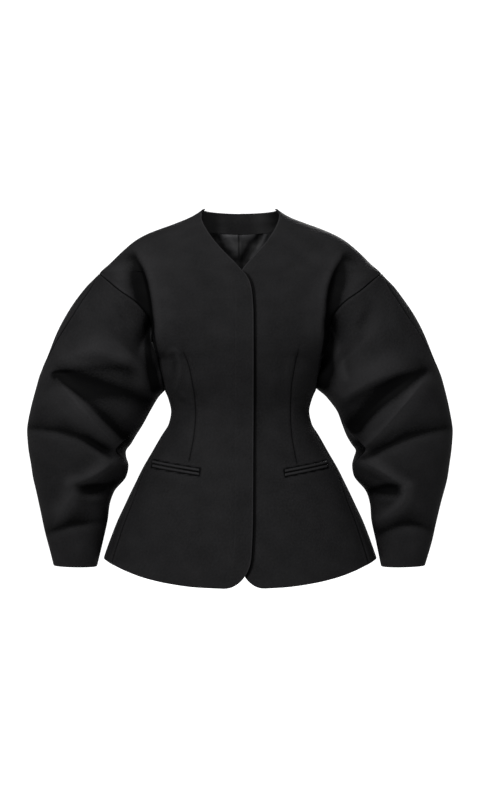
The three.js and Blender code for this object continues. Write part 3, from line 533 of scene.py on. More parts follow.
def blurred(points: Array, cells: int) -> Array:
    """A grid of points, each one moved to the soft mean of those round it.

    Args:
        points: The grid.
        cells: Width of the mean in steps of the grid.

    Returns:
        The grid of means.
    """
    reach = 2 * cells
    weights = bell(np.arange(-reach, reach + 1), cells * math.sqrt(2))
    weights /= weights.sum()
    for axis in (0, 1):
        pad = [(reach, reach) if k == axis else (0, 0) for k in range(points.ndim)]
        wide = np.pad(points, pad, mode="reflect", reflect_type="odd")
        size = points.shape[axis]
        slices = (np.take(wide, range(k, k + size), axis=axis) for k in range(2 * reach + 1))
        points = sum(w * part for w, part in zip(weights, slices))
    return points


class FoldShade:
    """Painted shade (-) and painted highlight (+) that folds give the cloth's colour, by its height
    against the cloth round it.
    """

    STEP = 2.5
    FAR = 420.0
    LOW = -700.0
    HIGH = 20.0
    DEEP = 14.0
    OWN = 0.35  # share of painted shade from a fold's own height
    ROUND = ((3, 1.0, 0.35), (12, 5.0, 0.6))  # cells to compare with, full step, share of painted shade
    # cap on the painted highlight beside a fold
    BRIGHTEST = 0.5

    def __init__(self, folds: tuple[Fold, ...]) -> None:
        """Maps the folds by distance from the centre plane and height."""
        x = np.arange(0.0, self.FAR, self.STEP)
        z = np.arange(self.LOW, self.HIGH, self.STEP)
        x, z = np.meshgrid(x, z)
        rise = folds_rise(folds, x, z)
        self.tone = self.OWN * np.clip(rise / self.DEEP, -1, 1)
        for cells, high, share in self.ROUND:
            step = (rise - blurred(rise, cells)) / high
            self.tone += share * np.clip(step, -1, self.BRIGHTEST)

    def __call__(self, x: Array, z: Array) -> Array:
        """The painted shade at points by distance from the centre plane and height."""
        rows, columns = self.tone.shape
        across = np.clip(x / self.STEP, 0, columns - 1.001)
        up = np.clip((z - self.LOW) / self.STEP, 0, rows - 1.001)
        i, j = across.astype(int), up.astype(int)
        t, k = across - i, up - j
        low = mix(self.tone[j, i], self.tone[j, i + 1], t)
        high = mix(self.tone[j + 1, i], self.tone[j + 1, i + 1], t)
        return mix(low, high, k)


class BodyForm:
    """The worn form of the body, as points by angle from centre front and by height."""

    FOLDED_ABOVE = -345.0  # the folds of the sleeves' armpits reach the body above this height
    FOLDED_BEYOND = 60.0  # and beyond this distance from the centre plane
    FOLD_FACING = (0.03, 0.35)  # and come in as the cloth turns to face forwards or back
    ANGLE_SPAN = 0.004  # a normal is taken over this angle and height, to each side
    HEIGHT_SPAN = 0.6

    def __init__(self) -> None:
        """Makes the curves of the body's tables."""
        self.folded = True
        self.half, self.front, self.back, self.square = (Curve(BODY, 0, k) for k in range(1, 5))
        self.armhole = {False: Curve(ARMHOLE, 0, 1), True: Curve(ARMHOLE, 0, 2)}
        self.side_seam = {False: Curve(SIDE_SEAMS, 0, 1), True: Curve(SIDE_SEAMS, 0, 2)}
        self.hem = Curve(HEM, 0, 1)
        self.edge = {Side.RIGHT: Curve(NECKLINE, 0, 1), Side.LEFT: Curve(NECKLINE, 0, 2)}

    def point(self, angle: Array | float, height: Array | float) -> Array:
        """Points of the body.

        Args:
            angle: Angle from centre front, positive through the wearer's left.
            height: Height.

        Returns:
            The points, with their coordinates on the last axis.
        """
        angle, height = np.broadcast_arrays(np.asarray(angle, float), np.asarray(height, float))
        power = 2 / self.square(height)
        s, c = np.sin(angle), np.cos(angle)
        depth = np.where(c > 0, self.front(height), self.back(height))
        x = self.half(height) * np.sign(s) * np.abs(s) ** power
        y = -depth * np.sign(c) * np.abs(c) ** power
        reached = (height > self.FOLDED_ABOVE) & (np.abs(x) > self.FOLDED_BEYOND)
        folded = self.folded & reached
        lift = np.zeros(x.shape)
        for side in Side:
            here = folded & (np.sign(x) == side.value)
            lift += folds_rise(FRONT_FOLDS[side], np.abs(x), height, here & (c > 0))
            lift += folds_rise(BACK_FOLDS[side], np.abs(x), height, here & (c <= 0))
        y = y - np.sign(c) * lift * smooth(*self.FOLD_FACING, np.abs(c))
        return np.stack([x, y, height], axis=-1)

    def plain_point(self, angle: Array, height: Array) -> Array:
        """Points of the body without its folds."""
        before, self.folded = self.folded, False
        points = self.point(angle, height)
        self.folded = before
        return points

    def normal(self, angle: Array, height: Array) -> Array:
        """Outward normals of the body at points given by angle and height."""
        turn, rise = self.ANGLE_SPAN, self.HEIGHT_SPAN
        right = self.point(angle + turn, height) - self.point(angle - turn, height)
        up = self.point(angle, height + rise) - self.point(angle, height - rise)
        return unit(np.cross(right, up))

    def angle_at(self, x: Array | float, height: Array | float) -> Array:
        """The angle at which the body's section has a given distance from the centre plane."""
        x = np.asarray(x, float)
        share = np.minimum(1.0, np.abs(x) / self.half(height))
        return np.sign(x) * np.arcsin(share ** (self.square(height) / 2))

    def armhole_angle(self, height: Array | float, back: bool) -> Array:
        """The angle of the armhole seam at a height, in front or behind."""
        angle = self.angle_at(self.armhole[back](height), height)
        return math.pi - angle if back else angle

    def outer_edge(self, height: Array, back: bool) -> Array:
        """The angle of a front's or back's outer edge: panel seam, armhole or shoulder line."""
        seam = np.radians(self.side_seam[back](height))
        miss = self.armhole_angle(PANEL_TOP, back) - math.radians(self.side_seam[back](PANEL_TOP))
        low = seam + miss * smooth(SEAM_BEND, PANEL_TOP, height)
        edge = np.where(height >= PANEL_TOP, self.armhole_angle(height, back), low)
        return np.where(height >= SHOULDER_TIP, QUARTER, edge)

    def row_height(self, row: Array, angle: Array | float) -> Array:
        """The true height of a panel's row at an angle.

        Args:
            row: The row: a height down to the peplum line, and below it that line less HEM_STEP
                for the whole way to the hem.
            angle: Angle from centre front.

        Returns:
            The height.
        """
        hem = self.hem(np.degrees(angle))
        return np.where(row >= PEPLUM, row, mix(PEPLUM, hem, (PEPLUM - row) / HEM_STEP))

    def front_edge(self, height: Array, side: Side) -> Array:
        """The front's closing edge with its neckline and its rounded hem corner."""
        corner = self.hem(0.0) + CORNER_HIGH
        drop = np.clip((corner - height) / CORNER_HIGH, 0, 1)
        return self.edge[side](height) + CORNER_WIDE * (1 - np.sqrt(1 - drop * drop))


class ArmholeSeam:
    """One half of the armhole seam, from the shoulder tip to the underarm, spaced evenly."""

    STEPS = 80

    def __init__(self, body: BodyForm, back: bool) -> None:
        """Measures the seam on the body.

        Args:
            body: The body's form.
            back: Whether it is the half behind.
        """
        self.height = np.linspace(SHOULDER_TIP, UNDERARM, self.STEPS + 1)
        self.angle = body.armhole_angle(self.height, back)
        self.angle[0] = self.angle[-1] = QUARTER
        gone = np.linalg.norm(np.diff(body.point(self.angle, self.height), axis=0), axis=1)
        self.share = np.concatenate([[0], np.cumsum(gone)]) / gone.sum()

    def place(self, share: Array) -> tuple[Array, Array]:
        """The angle and height at shares of the seam."""
        return np.interp(share, self.share, self.angle), np.interp(share, self.share, self.height)

    def share_at(self, height: float) -> float:
        """The share at which the seam has a height."""
        return float(np.interp(-height, -self.height, self.share))


class SleeveForm:
    """The worn form of one sleeve, as points by angle round it and share of its length."""

    FOLD_FACING = (0.05, 0.5)  # its folds come in as the cloth turns to face forwards or back
    BLEND = 0.11  # share of its length over which they take over from the armhole's
    CLEARANCE = 0.9
    CLING = 9.0  # how far its cloth is drawn to the body's side
    CLING_FADE = 32.0  # cloth farther out is drawn less, over this distance
    CLING_LOW = (-345.0, -322.0)  # heights between which that comes in, from below
    CLING_HIGH = (UNDERARM + 40, UNDERARM + 20)  # and from above
    CLING_START = 0.012  # share of its length over which it comes in from the armhole
    BESIDE = (-420.0, UNDERARM + 40)  # heights between which it passes the body's side
    CLEAR_START = 0.05  # share of its length over which the clearance comes in
    LOW_FROM = 0.6  # share down the armhole where its top's way out ends and its bottom's begins
    OUTWARDS = (0.45, 0.25, 0.5)  # its way out: everywhere, more at the top, more at the bottom
    UPWARDS = (-0.9, 0.2, 0.6)
    FORWARDS = 0.35

    def __init__(self, body: BodyForm, side: Side) -> None:
        """Places the sleeve's sections along its path.

        Args:
            body: The form that the sleeve is set into.
            side: The wearer's side.
        """
        self.body, self.side = body, side
        self.seam = {back: ArmholeSeam(body, back) for back in (False, True)}
        self.outer_seam, self.inner_seam = Curve(SLEEVE_SEAMS, 0, 1), Curve(SLEEVE_SEAMS, 0, 2)
        rows = np.array(SLEEVE, float)
        start = [(body.half(SHOULDER_TIP) + body.half(UNDERARM)) / 2, (SHOULDER_TIP + UNDERARM) / 2]
        path = np.vstack([start, (rows[:, 0:2] + rows[:, 2:4]) / 2])
        at = np.concatenate([[0], np.cumsum(np.linalg.norm(np.diff(path, axis=0), axis=1))])
        self.knots = at / at[-1]
        extra = rows[:, 6:8] if side is Side.LEFT else np.zeros((len(rows), 2))
        self.outer = rows[:, 0:2] + np.stack([extra[:, 0], np.zeros(len(rows))], axis=1)
        self.inner = rows[:, 2:4] + np.stack([extra[:, 1], np.zeros(len(rows))], axis=1)
        self.deep, self.middle = rows[:, 4], rows[:, 5]

    def armhole_place(self, turn: Array) -> tuple[Array, Array]:
        """The body's angle and height at an angle round the armhole, 0 at the shoulder tip."""
        full = np.mod(turn, 360)
        front = self.seam[False].place(full / 180)
        back = self.seam[True].place((360 - full) / 180)
        return tuple(np.where(full <= 180, a, b) for a, b in zip(front, back))

    def ring(self, turn: Array, k: Array) -> Array:
        """Points of the sleeve's sections.

        Args:
            turn: Angle round the sleeve.
            k: Number of the section: 0 is the armhole seam, and a point before it leads into it.

        Returns:
            The points, on the wearer's left.
        """
        last = len(self.deep)
        angle, height = self.armhole_place(turn)
        seam = self.body.plain_point(self.side.value * angle, height)
        seam[..., 0] = np.abs(seam[..., 0])
        under = (1 - np.cos(np.radians(turn))) / 2
        low, high = smooth(self.LOW_FROM, 1, under), 1 - smooth(0, self.LOW_FROM, under)
        s, c = np.sin(np.radians(turn)), np.cos(np.radians(turn))
        out, up = (a + b * high + d * low for a, b, d in (self.OUTWARDS, self.UPWARDS))
        way = np.stack([out, -self.FORWARDS * s, up], axis=-1)
        before = seam - SLEEVE_APPROACH * way / np.linalg.norm(way, axis=-1, keepdims=True)
        across = np.sign(c) * np.abs(c) ** (2 / SLEEVE_SQUARE)
        forward = np.sign(s) * np.abs(s) ** (2 / SLEEVE_SQUARE)

        def section(index: Array) -> Array:
            """Points of the sections with these numbers, from 1."""
            i = np.clip(index, 1, last) - 1
            out, into = self.outer[i], self.inner[i]
            flat = (out + into) / 2 + (out - into) / 2 * across[..., None]
            depth = self.middle[i] - self.deep[i] * forward
            return np.stack([flat[..., 0], depth, flat[..., 1]], axis=-1)

        points = np.where((k == 0)[..., None], seam, section(k))
        points = np.where((k < 0)[..., None], before, points)
        beyond = 2 * section(np.full(k.shape, last)) - section(np.full(k.shape, last - 1))
        return np.where((k > last)[..., None], beyond, points)

    def plain(self, turn: Array, share: Array) -> Array:
        """Points of the sleeve without its folds, on the wearer's left."""
        last = len(self.knots) - 1
        at = np.concatenate([[-self.knots[1]], self.knots, [2 - self.knots[-2]]])
        i = np.clip(np.searchsorted(self.knots, share, side="left") - 1, 0, last - 1)
        p0, p1, p2, p3 = (self.ring(turn, i + k) for k in (-1, 0, 1, 2))
        span = at[i + 2] - at[i + 1]
        t = ((share - self.knots[i]) / span)[..., None]
        slope1 = (p2 - p0) * (span / (at[i + 2] - at[i]))[..., None]
        slope2 = (p3 - p1) * (span / (at[i + 3] - at[i + 1]))[..., None]
        return cubic(t, p1, p2, slope1, slope2)

    def clear_of_body(self, points: Array, share: Array) -> Array:
        """Lays the sleeve's cloth beside the body against the body's side, and clear of it."""
        x, y, z = points[..., 0], points[..., 1], points[..., 2]
        half = self.body.half(np.minimum(z, UNDERARM)) + self.CLEARANCE
        depth = np.where(y < 0, self.body.front(z), self.body.back(z)) + self.CLEARANCE
        square = self.body.square(z)
        deep = np.minimum(0.999, np.abs(y) / depth)
        least = half * (1 - deep**square) ** (1 / square)
        beside = (z <= self.BESIDE[1]) & (z >= self.BESIDE[0])
        near = smooth(self.CLING + self.CLING_FADE, self.CLING, x - least)
        near = near * smooth(*self.CLING_LOW, z) * smooth(*self.CLING_HIGH, z)
        near = near * smooth(0, self.CLING_START, share)
        closer = np.maximum(x - self.CLING * near, np.minimum(x, least))
        hold = smooth(0.0, self.CLEAR_START, share)
        moved = np.where(beside, mix(closer, np.maximum(closer, least), hold), x)
        return np.stack([moved, y, z], axis=-1)

    def point(self, turn: Array, share: Array) -> Array:
        """Points of the sleeve with its folds.

        Args:
            turn: Angle round the sleeve, from its outer line through the front.
            share: Share of its length, from the armhole.

        Returns:
            The points.
        """
        turn, share = np.broadcast_arrays(np.asarray(turn, float), np.asarray(share, float))
        points = self.plain(turn, share)
        front = np.sin(np.radians(turn))
        if self.body.folded:
            x, z = points[..., 0], points[..., 2]
            lift = folds_rise(FRONT_FOLDS[self.side], x, z, front > 0)
            lift += folds_rise(BACK_FOLDS[self.side], x, z, front <= 0)
            own = -np.sign(front) * lift * smooth(*self.FOLD_FACING, np.abs(front))
            angle, height = self.armhole_place(turn)
            angle = self.side.value * angle
            seam = self.body.point(angle, height) - self.body.plain_point(angle, height)
            points[..., 1] += mix(seam[..., 1], own, smooth(0, self.BLEND, share))
        points = self.clear_of_body(points, share)
        return points * np.array([self.side.value, 1, 1])


class Patterns:
    """The skins of the cut pieces. u runs to the right and v up, as seen from outside."""

    HEM_PART = 0.18  # share of a panel's length below the peplum line
    LIP_ROUND = 2.6  # power of a lip's rounding
    LIP_FULL = 0.96  # share of a lip's length that stands out in full
    LEAST_RADIAN = 20.0  # shortest stretch of a section that a radian is taken for

    def __init__(self, body: BodyForm, sleeves: dict[Side, SleeveForm]) -> None:
        """Keeps the forms that the pieces lie on."""
        self.body, self.sleeves = body, sleeves
        self.facing_edge = Curve(FACING_EDGE, 0, 1)

    def row(self, v: Array, top: float) -> Array:
        """A panel's row at a share of its way from the hem to its top row."""
        low = PEPLUM - HEM_STEP * (1 - v / self.HEM_PART)
        high = mix(PEPLUM, top, (v - self.HEM_PART) / (1 - self.HEM_PART))
        return np.where(v < self.HEM_PART, low, high)

    def front(self, side: Side) -> Skin:
        """The skin of a front. The wearer's right one lies on top."""
        body, over = self.body, side is Side.RIGHT

        def skin(u: Array, v: Array) -> Array:
            """Points of the front."""
            row = self.row(v, NECK_TOP)
            share = 1 - u if over else u
            low = body.row_height(row, 0.0)
            inner = body.angle_at(body.front_edge(low, side), low)
            outer = body.outer_edge(body.row_height(row, math.radians(SEAM_SIGHT[0])), False)
            angle = mix(inner, outer, share)
            height = body.row_height(row, angle)
            point = body.point(side.value * angle, height)
            if not over:
                return point
            lift = OVERLAP_LIFT * smooth(*OVERLAP_ACROSS, point[..., 0])
            lift = lift * smooth(*OVERLAP_DOWN, -height)
            return point + body.normal(side.value * angle, height) * lift[..., None]

        return skin

    def side_panel(self, side: Side) -> Skin:
        """The skin of a side panel, whose upper edge is the bottom of the armhole."""
        body, sleeve = self.body, self.sleeves[side]
        first = sleeve.seam[False].share_at(PANEL_TOP) * 180
        last = 360 - sleeve.seam[True].share_at(PANEL_TOP) * 180

        def skin(u: Array, v: Array) -> Array:
            """Points of the side panel."""
            row = self.row(v, PANEL_TOP)
            share = u if side is Side.LEFT else 1 - u
            ends = [
                body.outer_edge(body.row_height(row, math.radians(sight)), back)
                for back, sight in zip((False, True), SEAM_SIGHT)
            ]
            turn = np.where(share < 0.5, mix(first, 180, share * 2), mix(180, last, share * 2 - 1))
            at, top = sleeve.armhole_place(turn)
            up = np.clip((row - SIDE_PANEL_START) / (PANEL_TOP - SIDE_PANEL_START), 0, 1)
            plain = mix(ends[0], ends[1], share)
            angle = mix(plain, at, up)
            height = mix(np.minimum(body.row_height(row, angle), SIDE_PANEL_START), top, up)
            height = np.where(row < SIDE_PANEL_START, body.row_height(row, angle), height)
            return body.point(side.value * angle, height)

        return skin

    def neck_dip(self, angle: Array, row: Array | float) -> Array:
        """How far the back neck's edge dips towards its centre."""
        return NECK_DIP * np.cos(angle) ** 2 * smooth(NECK_ROW, 0, row)

    def back(self, side: Side) -> Skin:
        """The skin of a back, from the side or armhole to the centre back seam."""
        body = self.body

        def skin(u: Array, v: Array) -> Array:
            """Points of the back."""
            row = self.row(v, NECK_TOP)
            share = u if side is Side.LEFT else 1 - u
            start = body.outer_edge(body.row_height(row, math.radians(SEAM_SIGHT[1])), True)
            angle = mix(start, math.pi, share)
            height = body.row_height(row, angle) + self.neck_dip(angle, row)
            return body.point(side.value * angle, height)

        return skin

    def sleeve(self, side: Side, front: bool) -> Skin:
        """The skin of one half of a sleeve, between its two seams."""
        form = self.sleeves[side]

        def skin(u: Array, v: Array) -> Array:
            """Points of the sleeve half."""
            share = 1 - v
            inwards = 1 - u if (side is Side.LEFT) == front else u
            outer, inner = form.outer_seam(share), form.inner_seam(share)
            return form.point(mix(outer if front else outer + 360, inner, inwards), share)

        return skin

    def lip(self, side: Side, above: float, pocket: "Pocket") -> Skin:
        """The skin of a pocket lip on a front, its middle so far above the middle of the slit."""

        def skin(u: Array, v: Array) -> Array:
            """Points of the lip, rounded over from edge to edge."""
            share = u if side is Side.LEFT else 1 - u
            x = mix(pocket.inner[0], pocket.outer[0], share)
            z = mix(pocket.inner[1], pocket.outer[1], share) + above + (v - 0.5) * pocket.lip_height
            angle = side.value * self.body.angle_at(x, z)
            round_off = 1 - np.abs(2 * v - 1) ** self.LIP_ROUND
            ends = 1 - smooth(self.LIP_FULL, 1.0, np.abs(2 * share - 1))
            lift = pocket.sunk + (pocket.stand - pocket.sunk) * round_off * ends
            return self.body.point(angle, z) + self.body.normal(angle, z) * lift[..., None]

        return skin

    def facing(self) -> Skin:
        """The skin of the back neck facing, inside the backs."""

        def skin(u: Array, v: Array) -> Array:
            """Points of the facing."""
            angle = mix(QUARTER, 3 * QUARTER, u)
            turned = np.degrees(np.minimum(angle, 2 * math.pi - angle))
            height = mix(self.facing_edge(turned), NECK_TOP + self.neck_dip(angle, 0.0), v)
            normal = self.body.normal(angle, height)
            return self.body.point(angle, height) - normal * (CLOTH + 2 * LAYER_GAP)

        return skin

    def lining(self, tucks: tuple["Tuck", ...]) -> Skin:
        """The skin of the back half lining, below the facing and between the armholes."""
        body, span = self.body, self.body.ANGLE_SPAN

        def skin(u: Array, v: Array) -> Array:
            """Points of the lining."""
            across = np.abs(2 * u - 1)
            hem = LINING_END + LINING_RISE * across**2
            row = mix(hem, LINING_TOP, v)
            outer = body.outer_edge(row, True)
            chord = body.point(outer + span, row) - body.point(outer - span, row)
            radian = np.linalg.norm(chord, axis=-1) / (2 * span)
            edge = outer + LINING_MARGIN / np.maximum(radian, self.LEAST_RADIAN)
            angle = mix(math.pi, edge, across)
            top = self.facing_edge(np.degrees(angle)) - LINING_UNDER
            height = mix(hem, top, v)
            signed = np.where(u < 0.5, angle, -angle)
            point, normal = body.point(signed, height), body.normal(signed, height)
            deep = CLOTH + 3 * LAYER_GAP + LINING_EASE * smooth(0, LINING_EASE_DOWN, top - height)
            deep = deep + sum(tuck.stand(point[..., 0], height) for tuck in tucks)
            return point - normal * deep[..., None]

        return skin


@dataclass(frozen=True)
class Tuck:
    """A small fold of the lining that starts at the facing's edge.

    Attributes:
        across: Distance of its top from centre back.
        lean: How far its lower end lies farther to the wearer's left.
        rise: How far it stands into the hollow.
        wide: Its half width at the top.
        long: Its length.
    """

    across: float
    lean: float
    rise: float
    wide: float
    long: float

    def stand(self, x: Array, height: Array) -> Array:
        """How far the tuck stands into the hollow at points by place and height."""
        down = np.clip((TUCK_TOP - height) / self.long, 0, 1)
        off = x - self.across - self.lean * down
        return self.rise * (1 - down * down) * bell(off, self.wide * (1 + down))


@dataclass(frozen=True)
class Pocket:
    """A pocket with two lips on one front.

    Attributes:
        outer: Distance from the centre plane and height of the slit's outer end.
        inner: The same for its inner end.
        lip_height: Height of one lip.
        slit: Width of the slit.
        stand: How far a lip's middle stands out of the front.
        sunk: How far its edges do.
    """

    outer: tuple[float, float]
    inner: tuple[float, float]
    lip_height: float = 6.4
    slit: float = 0.6
    stand: float = 2.4
    sunk: float = -0.4

    def inside(self, x: Array, z: Array) -> Array:
        """How far points lie inside the pocket's rectangle, and less than 0 outside it."""
        along = np.array(self.inner) - np.array(self.outer)
        length = float(np.hypot(*along))
        dx, dz = x - self.outer[0], z - self.outer[1]
        forward = (dx * along[0] + dz * along[1]) / length
        off = np.abs(dx * along[1] - dz * along[0]) / length
        half = self.lip_height + self.slit / 2
        return np.minimum(np.minimum(forward, length - forward), half - off)


POCKETS = {
    Side.RIGHT: Pocket(outer=(160, -465), inner=(72, -478)),
    Side.LEFT: Pocket(outer=(158.5, -465.4), inner=(79, -479.5)),
}

TUCKS = (
    Tuck(across=-32, lean=14, rise=1.6, wide=4, long=70),
    Tuck(across=-1, lean=0, rise=1.6, wide=3, long=190),
    Tuck(across=30, lean=-14, rise=1.4, wide=4.5, long=80),
    Tuck(across=50, lean=-24, rise=1.6, wide=4, long=75),
)

# The lining's painted highlights (gleams) and painted shadows (hollows); their cloth also stands
# into the neck (+) or lies back from it (-)
LINING_FOLDS = (
    Fold("shadow of the neckline", (-53, -38), (-36, -60), (-11, -84), (-0.8, -0.6, -0.5), 6, 6),
    Fold("gleam under the facing", (-27, -38), (-4, -39), (23, -38), (0.7, 0.8, 0.6), 6, 6),
    Fold("gleam", (-24, -40), (-15, -54), (-7, -72), (0.5, 0.4, 0.4), 5, 5),
    Fold("hollow", (39, -36), (23, -56), (6, -86), (-0.7, -1.0, -0.8), 7, 7),
    Fold("hollow", (-1, -92), (0, -99), (1, -106), (-0.3, -0.5, -0.5), 8, 8),
    Fold("gleam", (2, -48), (1, -58), (0, -76), (0.3, 0.5, 0.1), 3, 4),
    Fold("gleam", (48, -37), (36, -61), (21, -83), (0.9, 0.7, 0.7), 4, 4),
    Fold("hollow", (-43, -39), (-40, -46), (-37, -52), (-0.5, -0.6, 0), 4, 3),
    Fold("gleam", (-33, -37), (-31, -41), (-29, -46), (0.5, 0.3, 0), 2.5, 3),
)
LINING_PLEAT = -2.4  # place of the centre back pleat across


@dataclass(frozen=True)
class SewnLine:
    """A line of sewing on a front, as a curve by height, for its relief and its dark line.

    Attributes:
        rows: Height and distance from the centre plane, from the top down.
    """

    rows: tuple[tuple[float, float], ...]

    SPAN: ClassVar[float] = 2.0  # its slope is taken over this height, up and down
    LOW_FADE: ClassVar[float] = 2.0  # length over which it ends

    def off(self, x: Array, z: Array) -> Array:
        """Signed distance of points from the line, to the outside of it."""
        curve = Curve(self.rows, 0, 1)
        slope = (curve(z + self.SPAN) - curve(z - self.SPAN)) / (2 * self.SPAN)
        return (x - curve(z)) / np.sqrt(1 + slope * slope)

    def shown(self, z: Array, fade: float) -> Array:
        """1 beside the line, and less over the given length at its top and a short one below."""
        top, end = self.rows[0][0], self.rows[-1][0]
        return smooth(top, top - fade, z) * smooth(end - self.LOW_FADE, end, z)


DARTS = {
    Side.RIGHT: SewnLine(
        ((-252, 106), (-290, 92), (-321, 86), (-340, 83), (-374, 81), (-412, 84), (-458, 92))
    ),
    Side.LEFT: SewnLine(
        ((-246, 108), (-290, 99), (-331, 93), (-374, 92), (-412, 94), (-462, 102))
    ),
}
FLY = SewnLine(((-150, 8.5), (-300, 8.5), (-560, 9), (-620, 11), (-645, 15)))


@dataclass(frozen=True)
class Relief:
    """How the edges of a piece of cloth turn in, in millimetres.

    Attributes:
        seam_deep: How far a sewn edge sinks.
        seam_wide: Width of that sinking.
        ply_high: How far the cloth stands over the seam allowance.
        ply_at: How far from the edge it does.
        ply_wide: Over what width.
        fold_deep: How far a folded edge turns in.
        fold_wide: Width of that turn.
    """

    seam_deep: float = 0.9
    seam_wide: float = 1.7
    ply_high: float = 0.35
    ply_at: float = 6.0
    ply_wide: float = 3.0
    fold_deep: float = 0.5
    fold_wide: float = 1.1

    def sunk(self, distance: Array, edge: Edge) -> Array:
        """How far the cloth sinks at a distance from an edge."""
        if edge is Edge.FOLDED:
            return self.fold_deep * bell(distance, self.fold_wide)
        return self.seam_deep * bell(distance, self.seam_wide)


@dataclass(frozen=True)
class Kind:
    """What the pieces of one kind share.

    Attributes:
        columns: Number of columns of their mesh.
        rows: Number of rows.
        flat: Width and length of their flat cut in metres; not used.
        area: Flat area in square metres; not used.
        thick: Thickness in millimetres.
        uneven: Height of the slight unevenness of worn cloth.
        seeds: Numbers that it is drawn from, for the right one and the left one.
    """

    columns: int
    rows: int
    flat: tuple[float, float]
    area: float
    thick: float = 1.8
    uneven: float = 0.6
    seeds: tuple[int, int] = (0, 0)


FRONT = Kind(100, 270, (0.32, 0.89), 0.15, uneven=0.5, seeds=(11, 12))
SIDE_PANEL = Kind(44, 150, (0.16, 0.42), 0.038, uneven=0.4, seeds=(20, 22))
BACK = Kind(84, 220, (0.31, 0.86), 0.138, seeds=(30, 32))
SLEEVE_FRONT = Kind(128, 250, (0.31, 0.60), 0.131, seeds=(45, 47))
SLEEVE_BACK = Kind(96, 200, (0.38, 0.60), 0.135, seeds=(40, 42))
POCKET_LIP = Kind(60, 20, (0.105, 0.0102), 0.105 * 0.0102, thick=0.8)
NECK_FACING = Kind(110, 24, (0.285, 0.038), 0.0078, thick=FACING)
HALF_LINING = Kind(200, 110, (0.50, 0.26), 0.092, thick=0.6, uneven=0.35, seeds=(61, 61))


@dataclass(frozen=True)
class Cut:
    """One cut piece of cloth.

    Attributes:
        name: Name of the piece and of the node that it stands for.
        kind: What it shares with others.
        edges: Finish of its left, right, lower and upper edges.
    """

    name: str
    kind: Kind
    edges: tuple[Edge, Edge, Edge, Edge] = (Edge.FOLDED,) * 4


# Distances from an edge of the first rows or columns of a mesh, on lines at least so long
EDGE_STEPS = np.array([0.0, 0.6, 1.2, 1.9, 2.8, 4.0, 5.6])
FULL_STEPS = 60.0


def spaced(along: Array, count: int) -> Array:
    """Parameters at which a line is cut: closer together at both ends, and evenly between.

    Args:
        along: Distance along the line at evenly spaced parameters from 0 to 1.
        count: Number of steps.

    Returns:
        The parameters, one more than count.
    """
    total = along[-1]
    ends = EDGE_STEPS * min(1.0, total / FULL_STEPS)
    inner = np.linspace(ends[-1], total - ends[-1], count + 3 - 2 * len(ends))
    want = np.concatenate([ends[:-1], inner, total - ends[-2::-1]])
    return np.interp(want, along, np.linspace(0, 1, len(along)))


